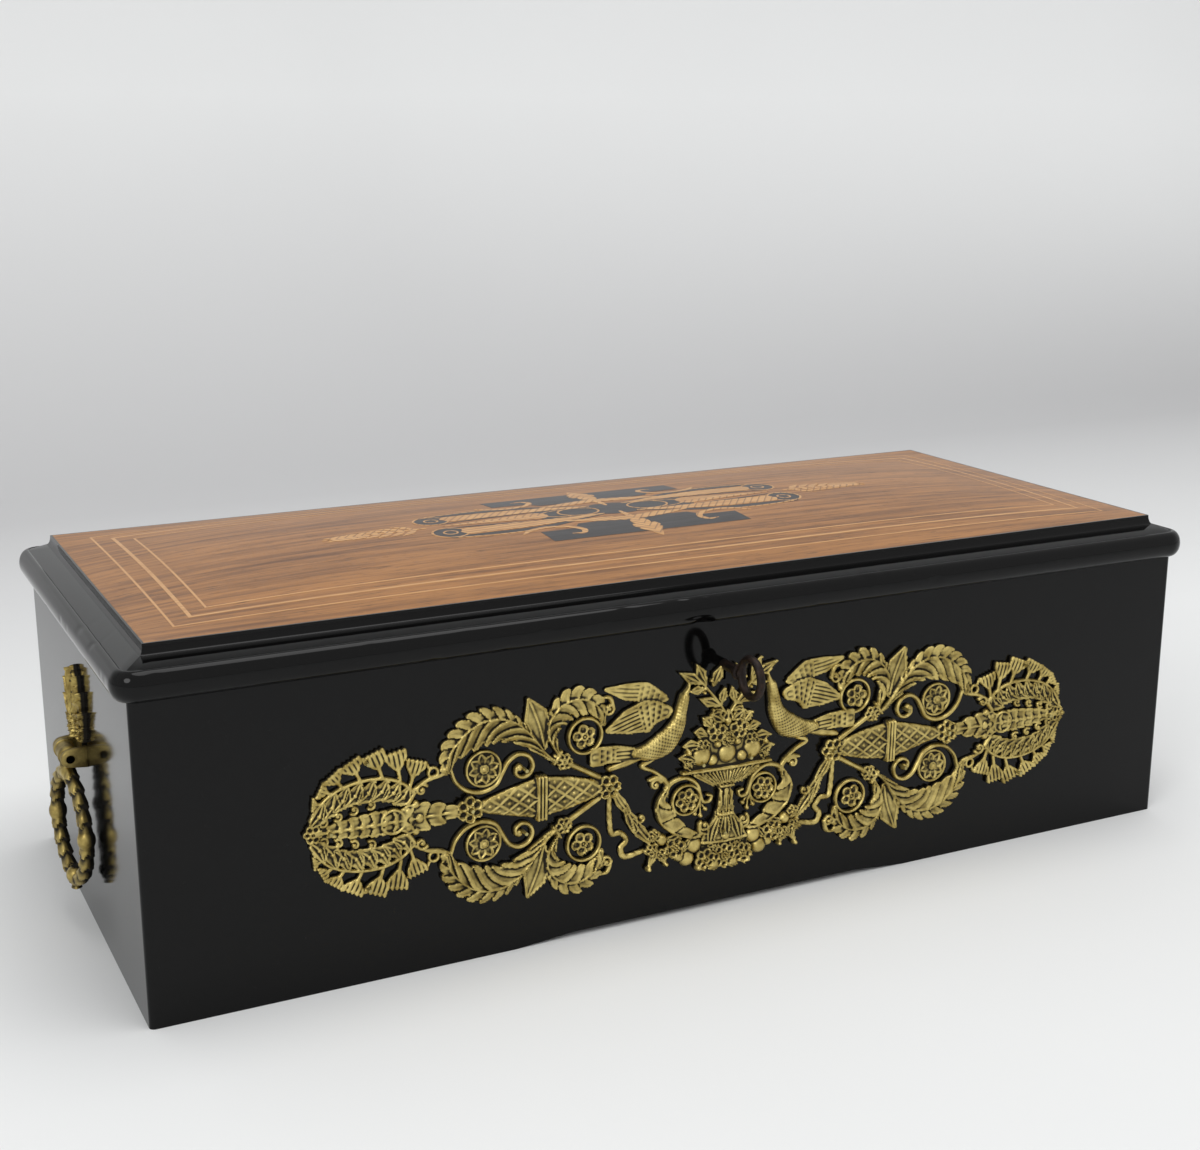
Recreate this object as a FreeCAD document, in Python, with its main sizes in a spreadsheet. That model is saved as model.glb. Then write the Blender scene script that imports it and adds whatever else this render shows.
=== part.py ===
"""Cylinder music box: ebonised case, domed marquetry lid, gilt mount and lever-wound movement.

The origin is the centre of the underside, +X runs along the case to the right, +Y to the back
and +Z up. The front, with its gilt mount and lock, faces -Y.
"""
import FreeCAD, Part
import math
import os

Vector = FreeCAD.Vector
Rotation = FreeCAD.Rotation
Placement = FreeCAD.Placement

SIZES = {
    "case_length": 550.0,
    "case_depth": 230.0,
    "case_height": 144.5,
    "wall": 14.0,
    "floor_thickness": 10.0,
    "corner_round": 2.5,
    "relief_length": 216.0,
    "relief_height": 2.5,
    "relief_ramp": 30.0,
    "lid_rim": 21.0,
    "lid_overhang": 6.2,
    "panel_inset": 16.4,
    "panel_edge": 8.0,
    "panel_dome": 9.0,
    "fillet_strip": 1.0,
    "cove_rise": 4.8,
    "cove_reach": 1.9,
    "ledge_rise": 3.2,
    "ledge_reach": 11.0,
    "nose_middle": 6.5,
    "nose_tuck": 4.2,
    "inlay_depth": 0.8,
    "string_inset": 14.5,
    "string_spacing": 9.6,
    "string_width": 1.1,
    "band_width": 2.2,
    "card_width": 150.0,
    "card_depth": 96.0,
    "card_thickness": 0.8,
    "hinge_spread": 340.0,
    "hinge_width": 60.0,
    "leaf_reach": 9.0,
    "leaf_thickness": 1.2,
    "knuckle_radius": 3.0,
    "knuckle_room": 0.4,
    "knuckle_gap": 0.3,
    "hinge_offset": 1.0,
    "hinge_pin_radius": 1.2,
    "running_fit": 0.05,
    "screw_head_radius": 2.2,
    "screw_shank_radius": 1.2,
    "screw_length": 9.0,
    "lock_inset": 22.0,
    "lock_width": 52.0,
    "lock_thickness": 10.0,
    "lock_drop": 37.0,
    "lock_wall": 1.0,
    "bolt_length": 20.0,
    "bolt_height": 5.0,
    "bolt_thickness": 2.6,
    "bolt_level": 12.0,
    "bolt_room": 0.3,
    "link_thickness": 3.0,
    "link_width": 5.6,
    "link_cheek": 1.2,
    "link_slot_room": 1.2,
    "link_start": 3.5,
    "key_shank_radius": 2.5,
    "key_reach": 25.0,
    "key_bow_radius": 8.6,
    "key_wire_radius": 1.9,
    "key_bit_radius": 7.2,
    "key_bit_thickness": 2.0,
    "key_fit": 0.1,
    "handle_inset": 57.5,
    "handle_plate_height": 37.0,
    "handle_plate_width": 36.0,
    "handle_plate_thickness": 4.0,
    "handle_stand_off": 7.5,
    "ear_spread": 16.0,
    "ear_thickness": 3.2,
    "ear_radius": 5.0,
    "handle_pin_radius": 2.0,
    "bail_drop": 63.0,
    "bail_neck": 9.0,
    "bail_half_width": 21.5,
    "bail_wire_radius": 3.3,
    "bail_room": 0.3,
    "mount_inset": 51.0,
    "mount_tilt": -1.03,
    "mount_web": 2.2,
    "mount_pin_radius": 0.8,
    "mount_pin_length": 9.0,
    "bearer_height": 8.0,
    "bearer_width": 22.0,
    "plate_width": 172.0,
    "plate_thickness": 8.0,
    "plate_left_room": 10.0,
    "plate_right_room": 4.0,
    "plate_bolt_inset": 11.0,
    "plate_bolt_radius": 3.0,
    "plate_bolt_head_radius": 5.5,
    "plate_bolt_back": 28.0,
    "partition_thickness": 6.0,
    "partition_reach": 29.0,
    "glass_inset": 18.5,
    "glass_frame_height": 8.0,
    "glass_frame_width": 14.0,
    "glass_thickness": 3.0,
    "glass_room": 0.5,
    "wheel_room": 8.0,
    "cylinder_axis_y": 10.0,
    "cylinder_radius": 27.0,
    "cylinder_wall": 1.6,
    "cylinder_left": -110.0,
    "cylinder_length": 265.0,
    "cap_thickness": 4.0,
    "arbor_radius": 3.0,
    "pivot_radius": 2.5,
    "pin_height": 1.0,
    "pin_radius": 0.35,
    "tune_shift": 3.6,
    "follower_length": 1.2,
    "great_wheel_room": 4.2,
    "tooth_pitch": 3.5,
    "tooth_gap": 0.5,
    "comb_margin": 6.5,
    "comb_thickness": 2.6,
    "comb_front": -72.0,
    "bass_root": -56.0,
    "treble_root": -42.0,
    "tip_room": 0.35,
    "lead_count": 28.0,
    "lead_depth": 5.0,
    "lead_length": 6.0,
    "comb_screw_count": 8.0,
    "barrel_module": 1.0,
    "barrel_wheel_teeth": 72.0,
    "cylinder_pinion_teeth": 18.0,
    "barrel_wheel_thickness": 6.0,
    "barrel_radius": 31.0,
    "barrel_wall": 2.5,
    "barrel_length": 54.0,
    "barrel_room": 10.0,
    "barrel_arbor_radius": 4.0,
    "spring_turns": 9.0,
    "spring_thickness": 0.6,
    "spring_core_radius": 7.0,
    "spring_room": 1.5,
    "bridge_thickness": 5.0,
    "bridge_width": 16.0,
    "bridge_foot": 26.0,
    "bridge_foot_height": 6.0,
    "ratchet_teeth": 24.0,
    "ratchet_radius": 14.0,
    "ratchet_depth": 2.0,
    "ratchet_thickness": 4.0,
    "click_room": 0.3,
    "lever_hub_radius": 9.0,
    "lever_thickness": 5.5,
    "lever_length": 75.0,
    "lever_width": 9.0,
    "knob_radius": 6.5,
    "knob_length": 28.0,
    "governor_module": 0.8,
    "great_wheel_teeth": 72.0,
    "governor_pinion_teeth": 12.0,
    "great_wheel_thickness": 3.0,
    "worm_reach": 16.0,
    "worm_wheel_teeth": 36.0,
    "worm_wheel_thickness": 2.4,
    "worm_pitch_radius": 4.0,
    "worm_turns": 8.5,
    "worm_core_radius": 3.0,
    "governor_arbor_radius": 1.5,
    "governor_plate": 3.0,
    "fan_radius": 16.0,
    "fan_rise": 20.0,
    "fan_room": 7.0,
    "cock_room": 5.0,
    "control_level": 100.0,
    "start_lever_y": 20.0,
    "change_lever_y": -30.0,
    "control_shaft_radius": 2.0,
    "control_lever_reach": 28.0,
    "control_knob_radius": 4.5,
}


# Sizes that follow from others: levels from the case's top, and the movement from end to end.
TIED = {
    "keyhole_height": "case_height - lock_inset",
    "handle_level": "case_height - handle_inset",
    "mount_level": "keyhole_height - mount_inset",
    "partition_top": "case_height - glass_inset",
    "axis_level": "floor_thickness + bearer_height + plate_thickness"
    " + barrel_wheel_teeth * barrel_module / 2 + wheel_room",
    "barrel_wheel_left": "cylinder_left - barrel_wheel_thickness - barrel_room",
    "left_partition_x": "barrel_wheel_left - barrel_length - partition_reach",
    "great_wheel_left": "cylinder_left + cylinder_length + follower_length + tune_shift + great_wheel_room",
    "worm_x": "great_wheel_left + worm_reach",
    "right_partition_x": "worm_x + partition_reach",
    "plate_length": "right_partition_x - left_partition_x - partition_thickness"
    " - plate_left_room - plate_right_room",
    "plate_centre_x": "(left_partition_x + right_partition_x + plate_left_room - plate_right_room) / 2",
    "plate_bolt_front": "plate_width / 2 - plate_bolt_inset",
    "comb_left": "cylinder_left + comb_margin + tooth_gap",
    "tooth_count": "floor((cylinder_length - comb_margin * 2) / tooth_pitch)",
    "cock_level": "partition_top - cock_room",
    "fan_level": "axis_level + fan_rise",
    "fan_height": "cock_level - fan_level - fan_room",
}

doc = FreeCAD.newDocument("cylinder_music_box")
sheet = doc.addObject("Spreadsheet::Sheet", "Sizes")
cells = {alias: str(value) for alias, value in SIZES.items()}
cells.update({alias: "=" + formula for alias, formula in TIED.items()})
for row, (alias, content) in enumerate(cells.items(), start=1):
    sheet.set(f"A{row}", alias)
    sheet.set(f"B{row}", content)
    sheet.setAlias(f"B{row}", alias)
doc.recompute()


class Size:
    """A length that carries its number and the sheet expression that it comes from."""

    def __init__(self, text, number):
        self.text = text
        self.number = number

    def __float__(self):
        return float(self.number)

    def __add__(self, other):
        other = as_size(other)
        return Size(f"({self.text} + {other.text})", self.number + other.number)

    def __sub__(self, other):
        other = as_size(other)
        return Size(f"({self.text} - {other.text})", self.number - other.number)

    def __mul__(self, other):
        other = as_size(other)
        return Size(f"({self.text} * {other.text})", self.number * other.number)

    def __truediv__(self, other):
        other = as_size(other)
        return Size(f"({self.text} / {other.text})", self.number / other.number)

    def __radd__(self, other):
        return as_size(other) + self

    def __rsub__(self, other):
        return as_size(other) - self

    def __rmul__(self, other):
        return as_size(other) * self

    def __neg__(self):
        return Size(f"(0 - {self.text})", -self.number)


def as_size(value):
    if isinstance(value, Size):
        return value
    return Size(f"({float(value)!r})", float(value))


class Sheet:
    """Gives each cell of the sheet as a Size, by its alias."""

    def __getattr__(self, alias):
        return Size("Sizes." + alias, float(sheet.get(alias)))


dim = Sheet()
NODES = []
AXIS_TURN = {
    "X": Rotation(Vector(0, 1, 0), 90),
    "Y": Rotation(Vector(1, 0, 0), -90),
    "Z": Rotation(),
}
# Turns a flat outline so that its own X and Y lie along Y and Z and its thickness along X.
ACROSS_X = Rotation(Vector(1, 1, 1), 120)


def bind(item, path, value):
    item.setExpression(path, as_size(value).text)


def place(item, corner, axis="Z"):
    item.Placement = Placement(Vector(*[float(value) for value in corner]), AXIS_TURN[axis])
    for name, value in zip("xyz", corner):
        bind(item, "Placement.Base." + name, value)
    return item


def box(name, corner, extent):
    item = doc.addObject("Part::Box", name)
    for size_name, value in zip(("Length", "Width", "Height"), extent):
        bind(item, size_name, value)
    return place(item, corner)


def rod(name, start, axis, radius, length):
    item = doc.addObject("Part::Cylinder", name)
    bind(item, "Radius", radius)
    bind(item, "Height", length)
    return place(item, start, axis)


def ball(name, centre, radius):
    item = doc.addObject("Part::Sphere", name)
    bind(item, "Radius", radius)
    return place(item, centre)


def fuse(name, *pieces):
    item = doc.addObject("Part::MultiFuse", name)
    item.Shapes = list(pieces)
    return item


def cut(name, base, *tools):
    item = doc.addObject("Part::Cut", name)
    item.Base = base
    item.Tool = tools[0] if len(tools) == 1 else fuse(name + "_cutters", *tools)
    return item


def common(name, first, second):
    item = doc.addObject("Part::Common", name)
    item.Base = first
    item.Tool = second
    return item


def group(name, *pieces):
    item = doc.addObject("Part::Compound", name)
    item.Links = list(pieces)
    return item


def feature(name, shape, placement=None):
    item = doc.addObject("Part::Feature", name)
    item.Shape = shape
    if placement is not None:
        item.Placement = placement
    return item


def node(item):
    """Marks a finished sub-part, whose label names its file."""
    NODES.append(item)
    return item


def polygon(points, level=0.0):
    """Flat face through the given points, which lie at one level."""
    corners = [Vector(x, y, level) for x, y in points]
    return Part.Face(Part.makePolygon(corners + corners[:1]))


def prism(face, thickness):
    return face.extrude(Vector(0, 0, thickness))


# Shared places, worked out from the driving sizes.
half_length = dim.case_length / 2
half_depth = dim.case_depth / 2
inner_x = half_length - dim.wall
inner_y = half_depth - dim.wall
outer_x = half_length + dim.lid_overhang
outer_y = half_depth + dim.lid_overhang
lid_base = dim.case_height
rim_level = lid_base + dim.lid_rim
rail_width = dim.lid_overhang + dim.wall
seat_level = rim_level - dim.panel_edge
panel_x = outer_x - dim.panel_inset
panel_y = outer_y - dim.panel_inset
plate_top = dim.floor_thickness + dim.bearer_height + dim.plate_thickness
cylinder_y = dim.cylinder_axis_y
axis_z = dim.axis_level


# Case boards.
def corner_tool(name, side_x, side_y):
    """What a rounded vertical corner of the case takes off the board."""
    radius = dim.corner_round
    square = box(
        name + "_square",
        (
            half_length * side_x if side_x < 0 else half_length - radius,
            half_depth * side_y if side_y < 0 else half_depth - radius,
            0,
        ),
        (radius, radius, dim.case_height),
    )
    centre = (half_length * side_x - radius * side_x, half_depth * side_y - radius * side_y, 0)
    return cut(name, square, rod(name + "_round", centre, "Z", radius, dim.case_height))


def relief_tool(name, side_y):
    """The shallow hollow under a long board, which leaves the case standing on its ends."""
    half = float(dim.relief_length) / 2
    ramp = float(dim.relief_ramp)
    top = float(dim.relief_height)
    outline = [(-half, 0), (-half + ramp, top), (half - ramp, top), (half, 0)]
    start = -float(half_depth) if side_y < 0 else float(inner_y)
    shape = prism(polygon(outline), float(dim.wall))
    turn = Rotation(Vector(1, 0, 0), 90)
    return feature(name, shape, Placement(Vector(0, start + float(dim.wall), 0), turn))


def long_board(name, side_y):
    start = -half_depth if side_y < 0 else inner_y
    blank = box(
        name + "_blank", (-half_length, start, 0), (dim.case_length, dim.wall, dim.case_height)
    )
    return cut(
        name + "_shaped",
        blank,
        corner_tool(name + "_left_corner", -1, side_y),
        corner_tool(name + "_right_corner", 1, side_y),
        relief_tool(name + "_relief", side_y),
    )


def end_board(name, side_x):
    start = -half_length if side_x < 0 else inner_x
    return box(name, (start, -inner_y, 0), (dim.wall, inner_y * 2, dim.case_height))


front_blank = long_board("front", -1)
back_blank = long_board("back", 1)
node(group("end_boards", end_board("left_end_board", -1), end_board("right_end_board", 1)))
bottom_blank = box(
    "bottom_blank", (-inner_x, -inner_y, 0), (inner_x * 2, inner_y * 2, dim.floor_thickness)
)


# Lid moulding: four mitred rails of one section.
def rail_section():
    """Section of the moulding as wires' ends: inset from the lid's edge, height over its underside."""
    rim = float(dim.lid_rim)
    cove_top = float(dim.panel_inset - dim.fillet_strip)
    cove_foot = cove_top - float(dim.cove_reach)
    ledge_top = rim - float(dim.cove_rise)
    nose_inset = cove_foot - float(dim.ledge_reach)
    nose_top = ledge_top - float(dim.ledge_rise)
    middle = float(dim.nose_middle)
    tuck = float(dim.nose_tuck)
    width = float(rail_width)
    seat = rim - float(dim.panel_edge)
    inset = float(dim.panel_inset)
    lean = math.sqrt(0.5)

    def between(centre, start, end):
        return tuple(
            c + lean * (a - c) + lean * (b - c) for c, a, b in zip(centre, start, end)
        )

    tuck_arc = [(tuck, 0), between((tuck, middle), (tuck, 0), (0, middle)), (0, middle)]
    nose_centre = (nose_inset, middle)
    nose_end = (nose_inset, nose_top)
    nose_arc = [(0, middle), between(nose_centre, (0, middle), nose_end), nose_end]
    cove_centre = (cove_foot, rim)
    cove_start = (cove_foot, ledge_top)
    cove_end = (cove_top, rim)
    cove_arc = [cove_start, between(cove_centre, cove_start, cove_end), cove_end]
    return [
        [(width, 0), (tuck, 0)],
        tuck_arc,
        nose_arc,
        [nose_end, cove_start],
        cove_arc,
        [cove_end, (inset, rim)],
        [(inset, rim), (inset, seat)],
        [(inset, seat), (width, seat)],
        [(width, seat), (width, 0)],
    ]


def lid_rail(name, inward, along, half, reach):
    """One rail: the section run along the side and cut to a mitre at both ends."""
    half = float(half)
    reach = float(reach)
    base = float(lid_base)
    width = float(rail_width)

    def point(inset, height, run):
        return inward * (inset - reach) + along * run + Vector(0, 0, base + height)

    edges = []
    for stretch in rail_section():
        points = [point(inset, height, -half) for inset, height in stretch]
        if len(points) == 2:
            edges.append(Part.LineSegment(*points).toShape())
        else:
            edges.append(Part.Arc(*points).toShape())
    run = Part.Face(Part.Wire(edges)).extrude(along * (2 * half))
    corners = [
        point(0, 0, -half),
        point(0, 0, half),
        point(width, 0, half - width),
        point(width, 0, width - half),
    ]
    mitre = Part.Face(Part.makePolygon(corners + corners[:1])).extrude(Vector(0, 0, float(dim.lid_rim)))
    return feature(name, run.common(mitre))


axis_x = Vector(1, 0, 0)
axis_y = Vector(0, 1, 0)
front_rail_blank = lid_rail("lid_rail_front_blank", axis_y, axis_x, outer_x, outer_y)
back_rail_blank = lid_rail("lid_rail_back_blank", -axis_y, axis_x, outer_x, outer_y)
node(
    group(
        "lid_rails_end",
        lid_rail("lid_rail_left", axis_x, axis_y, outer_y, outer_x),
        lid_rail("lid_rail_right", -axis_x, axis_y, outer_y, outer_x),
    )
)


# Domed lid panel with its inlays.
def dome_face():
    """Top of the panel: flat along its edges and swelling to the middle."""
    reach_x = float(panel_x)
    reach_y = float(panel_y)
    columns = 12
    rows = 8
    grid = []
    for column in range(columns + 1):
        across = -1 + 2 * column / columns
        line = []
        for row in range(rows + 1):
            deep = -1 + 2 * row / rows
            rise = float(dim.panel_dome) * (1 - across ** 4) * (1 - deep ** 2)
            line.append(Vector(across * reach_x, deep * reach_y, float(rim_level) + rise))
        grid.append(line)
    surface = Part.BSplineSurface()
    surface.interpolate(grid)
    return surface.toShape()


def frame_face(inset, width):
    """Flat rectangular ring, a given inset inside the panel's edge."""
    x = float(panel_x) - inset
    y = float(panel_y) - inset
    outer = polygon([(-x, -y), (x, -y), (x, y), (-x, y)])
    x -= width
    y -= width
    return outer.cut(polygon([(-x, -y), (x, -y), (x, y), (-x, y)]))


def mirrored(points):
    """The same outline in all four quarters of the panel."""
    return [
        polygon([(sx * x, sy * y) for x, y in points])
        for sx in (1, -1)
        for sy in (1, -1)
    ]


def marquetry_faces():
    """Ebony grounds and boxwood leaves of the centre ornament, as flat faces."""
    strip = [(0, 24), (57, 24), (57, 48), (0, 48)]
    cell = [(8, 0), (46, 0), (46, 13), (8, 13)]
    plume = [(20, 15), (40, 19), (88, 20), (88, 9), (40, 10)]
    tongue = [(48, 0), (48, 6), (92, 2), (92, 0)]
    spray = [(112, 0), (124, 8), (136, 6), (160, 0)]
    leaf = [(0, 10), (4, 16), (3, 26), (8, 34), (3, 44), (0, 56)]
    hook = [(32, 27), (38, 22), (46, 26), (42, 28), (38, 26), (36, 34)]
    loops = []
    for side_x in (1, -1):
        for side_y in (1, -1):
            centre = Vector(side_x * 98, side_y * 14, 0)
            disc = Part.Face(Part.Wire(Part.makeCircle(9, centre)))
            loops.append(disc.cut(Part.Face(Part.Wire(Part.makeCircle(6, centre)))))
    pale = mirrored(plume) + mirrored(tongue) + mirrored(spray) + mirrored(leaf) + mirrored(hook) + loops
    dark = mirrored(strip) + mirrored(cell)
    return dark, pale


def panel_and_inlays():
    dome = dome_face()
    top = float(rim_level)
    rise = float(dim.panel_dome)
    edge = float(dim.panel_edge)
    lift = Vector(0, 0, top - edge)
    slab = dome.extrude(Vector(0, 0, -edge - 2 * rise))
    below = Part.makeBox(
        2 * float(outer_x), 2 * float(outer_y), edge + 2 * rise,
        Vector(-float(outer_x), -float(outer_y), float(seat_level) - edge - 2 * rise),
    )
    panel = slab.cut(below)
    skin = dome.extrude(Vector(0, 0, -float(dim.inlay_depth)))

    def inlay(faces):
        standing = [face.translated(lift).extrude(Vector(0, 0, edge + rise + 1)) for face in faces]
        outline = standing[0].multiFuse(standing[1:]) if len(standing) > 1 else standing[0]
        return outline, skin.common(outline)

    dark, pale = marquetry_faces()
    pale_outline, pale_skin = inlay(pale)
    dark_skin = inlay(dark)[1].cut(pale_outline)
    inset = float(dim.string_inset)
    step = float(dim.string_spacing)
    line = float(dim.string_width)
    band = float(dim.band_width)
    lines = [
        frame_face(inset, line),
        frame_face(inset + step - (band - line) / 2, band),
        frame_face(inset + 2 * step, line),
    ]
    string_skin = Part.makeCompound([skin.common(inlay([face])[0]) for face in lines])
    panel = panel.cut(Part.makeCompound([pale_skin, dark_skin, string_skin]))
    return panel, dark_skin, pale_skin, string_skin


panel_shape, ground_shape, leaves_shape, string_shape = panel_and_inlays()
node(feature("lid_panel", panel_shape))
node(feature("marquetry_ground", ground_shape))
node(feature("marquetry_leaves", leaves_shape))
node(feature("stringing", string_shape))
node(
    box(
        "tune_card",
        (-dim.card_width / 2, -dim.card_depth / 2, seat_level - dim.card_thickness),
        (dim.card_width, dim.card_depth, dim.card_thickness),
    )
)


# Butt hinges, whose pins lie on the case's upper back edge.
hinge_axis_y = half_depth + dim.hinge_offset
hinge_axis_z = lid_base
knuckle_clear = dim.knuckle_radius + dim.knuckle_room
leaf_inner = hinge_axis_y - knuckle_clear - dim.leaf_reach
KNUCKLES = 5


def hinge_place(side):
    return dim.hinge_spread / 2 * side - dim.hinge_width / 2


def hinge_leaf(name, side, level, first):
    """One leaf: a plate let into its edge, with every other knuckle of the hinge."""
    start = hinge_place(side)
    plate = box(
        name + "_plate",
        (start, leaf_inner, level),
        (dim.hinge_width, dim.leaf_reach, dim.leaf_thickness),
    )
    pitch = (dim.hinge_width + dim.knuckle_gap) / KNUCKLES
    pieces = [plate]
    for index in range(first, KNUCKLES, 2):
        left = start + pitch * index
        length = pitch - dim.knuckle_gap
        tab = (left, leaf_inner + dim.leaf_reach, level)
        pieces.append(box(f"{name}_tab_{index}", tab, (length, knuckle_clear, dim.leaf_thickness)))
        barrel = (left, hinge_axis_y, hinge_axis_z)
        pieces.append(rod(f"{name}_knuckle_{index}", barrel, "X", dim.knuckle_radius, length))
    bore = rod(
        name + "_bore",
        (start - 1, hinge_axis_y, hinge_axis_z),
        "X",
        dim.hinge_pin_radius + dim.running_fit,
        dim.hinge_width + 2,
    )
    return cut(name, fuse(name + "_blank", *pieces), bore)


def hinge_screw(name, x, head_level, direction):
    """A screw with its head flush in the leaf and its shank in the wood."""
    y = leaf_inner + dim.leaf_reach / 2
    shank_level = head_level - dim.screw_length if direction < 0 else head_level
    return fuse(
        name,
        rod(
            name + "_head",
            (x, y, head_level - dim.leaf_thickness if direction < 0 else head_level),
            "Z",
            dim.screw_head_radius,
            dim.leaf_thickness,
        ),
        rod(name + "_shank", (x, y, shank_level), "Z", dim.screw_shank_radius, dim.screw_length),
    )


def hinge_set():
    case_screws = []
    lid_screws = []
    case_leaves = []
    lid_leaves = []
    pins = []
    notches = []
    for side, word in ((-1, "left"), (1, "right")):
        start = hinge_place(side)
        for index in range(3):
            x = start + dim.hinge_width * (index + 0.5) / 3
            case_screws.append(hinge_screw(f"{word}_case_screw_{index}", x, hinge_axis_z, -1))
            lid_screws.append(hinge_screw(f"{word}_lid_screw_{index}", x, hinge_axis_z, 1))
        case_leaves.append(hinge_leaf(f"{word}_case_leaf", side, hinge_axis_z - dim.leaf_thickness, 0))
        lid_leaves.append(hinge_leaf(f"{word}_lid_leaf", side, hinge_axis_z, 1))
        pin_start = (start, hinge_axis_y, hinge_axis_z)
        pins.append(rod(f"{word}_hinge_pin", pin_start, "X", dim.hinge_pin_radius, dim.hinge_width))
        notch_start = (start - dim.knuckle_gap, hinge_axis_y, hinge_axis_z)
        notch_length = dim.hinge_width + dim.knuckle_gap * 2
        notches.append(rod(f"{word}_knuckle_notch", notch_start, "X", knuckle_clear, notch_length))
        notches.append(
            box(
                f"{word}_leaf_recess",
                (start, leaf_inner, hinge_axis_z - dim.leaf_thickness),
                (dim.hinge_width, dim.leaf_reach + knuckle_clear, dim.leaf_thickness * 2),
            )
        )
    return case_screws, lid_screws, case_leaves, lid_leaves, pins, notches


case_screws, lid_screws, case_leaves, lid_leaves, hinge_pins, hinge_notches = hinge_set()
hinge_notch = fuse("hinge_notches", *hinge_notches)
case_screw_group = group("hinge_case_screws", *case_screws)
lid_screw_group = node(group("hinge_lid_screws", *lid_screws))
node(cut("hinge_case_leaves", group("case_leaf_pair", *case_leaves), case_screw_group))
node(cut("hinge_lid_leaves", group("lid_leaf_pair", *lid_leaves), lid_screw_group))
node(group("hinge_pins", *hinge_pins))
node(cut("back_board", back_blank, hinge_notch, case_screw_group))
node(cut("lid_rail_back", back_rail_blank, hinge_notch, lid_screw_group))


# Link lock in the front board, its key, and the link on the lid.
lock_back = -inner_y
lock_front = lock_back - dim.lock_thickness
lock_top = lid_base
lock_floor = lock_top - dim.lock_drop
lock_middle = (lock_front + lock_back) / 2
bolt_top = lock_top - dim.bolt_level + dim.bolt_height
bolt_floor = lock_top - dim.bolt_level
key_z = dim.keyhole_height
bolt_right = dim.link_start - dim.bolt_room * 2
link_slot = box(
    "link_slot",
    (
        dim.link_start - dim.link_slot_room,
        lock_middle - dim.link_width / 2 - dim.link_slot_room,
        lock_top - dim.bolt_level - dim.bolt_height,
    ),
    (
        dim.link_thickness + dim.link_slot_room * 2,
        dim.link_width + dim.link_slot_room * 2,
        dim.bolt_level + dim.bolt_height,
    ),
)


def key_hole(name):
    """Round hole for the shank with a slot below it for the bit."""
    radius = dim.key_shank_radius + dim.key_fit
    start = -half_depth - 1
    length = dim.wall
    slot_half = dim.key_bit_thickness / 2 + dim.key_fit * 3
    return fuse(
        name,
        rod(name + "_round", (0, start, key_z), "Y", radius, length),
        box(
            name + "_slot",
            (-slot_half, start, key_z - dim.key_bit_radius - dim.key_fit * 5),
            (slot_half * 2, length, dim.key_bit_radius),
        ),
    )


def lock(board):
    outer = box(
        "lock_block",
        (-dim.lock_width / 2, lock_front, lock_floor),
        (dim.lock_width, dim.lock_thickness, dim.lock_drop),
    )
    inside = box(
        "lock_inside",
        (-dim.lock_width / 2 + dim.lock_wall, lock_front + dim.lock_wall, lock_floor + dim.lock_wall),
        (
            dim.lock_width - dim.lock_wall * 2,
            dim.lock_thickness - dim.lock_wall * 2,
            dim.lock_drop - dim.lock_wall * 2,
        ),
    )
    guides = []
    for word, level in (
        ("lower", bolt_floor - dim.bolt_room - dim.lock_wall),
        ("upper", bolt_top + dim.bolt_room),
    ):
        guides.append(
            box(
                f"{word}_bolt_guide",
                (-dim.lock_width / 2 + dim.lock_wall, lock_front + dim.lock_wall, level),
                (dim.bolt_length / 2, dim.lock_thickness - dim.lock_wall * 2, dim.lock_wall),
            )
        )
    shell = cut("lock_shell", outer, inside, link_slot, key_hole("lock_key_hole"))
    node(fuse("lock_case", shell, *guides))
    node(cut("front_board", board, outer, key_hole("board_key_hole")))
    node(
        box(
            "lock_bolt",
            (bolt_right - dim.bolt_length, lock_middle - dim.bolt_thickness / 2, bolt_floor),
            (dim.bolt_length, dim.bolt_thickness, dim.bolt_height),
        )
    )


def lid_link():
    """Plate under the front rail with an eye that hangs into the lock, for the bolt to enter."""
    low = bolt_floor - dim.bolt_room * 2 - dim.link_cheek
    eye = box(
        "link_eye",
        (dim.link_start, lock_middle - dim.link_width / 2, low),
        (dim.link_thickness, dim.link_width, lid_base - low + dim.leaf_thickness),
    )
    window = box(
        "link_window",
        (dim.link_start - 1, lock_middle - dim.link_width / 2 + dim.link_cheek, low + dim.link_cheek),
        (
            dim.link_thickness + 2,
            dim.link_width - dim.link_cheek * 2,
            dim.bolt_height + dim.bolt_room * 4,
        ),
    )
    plate = box(
        "link_plate",
        (-dim.lock_width / 2, lock_front, lid_base),
        (dim.lock_width, dim.lock_thickness, dim.leaf_thickness),
    )
    node(cut("lid_link", fuse("link_blank", plate, eye), window))
    node(cut("lid_rail_front", front_rail_blank, plate))


def key():
    """Turned shank with a collar, a bit that hangs down and a ring for a bow, upright in its plane."""
    bow_centre = -half_depth - dim.key_reach
    shank_start = bow_centre + dim.key_bow_radius
    shank_end = lock_back - dim.lock_wall * 1.5
    ring = doc.addObject("Part::Torus", "key_bow")
    bind(ring, "Radius1", dim.key_bow_radius)
    bind(ring, "Radius2", dim.key_wire_radius)
    place(ring, (0, bow_centre, key_z), "X")
    bit_length = dim.lock_thickness - dim.lock_wall * 4
    node(
        fuse(
            "key",
            ring,
            rod("key_shank", (0, shank_start, key_z), "Y", dim.key_shank_radius, shank_end - shank_start),
            rod(
                "key_collar",
                (0, shank_start + dim.key_wire_radius, key_z),
                "Y",
                dim.key_shank_radius + 1.2,
                dim.key_wire_radius,
            ),
            box(
                "key_bit",
                (-dim.key_bit_thickness / 2, shank_end - bit_length, key_z - dim.key_bit_radius),
                (dim.key_bit_thickness, bit_length, dim.key_bit_radius),
            ),
        )
    )



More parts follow.
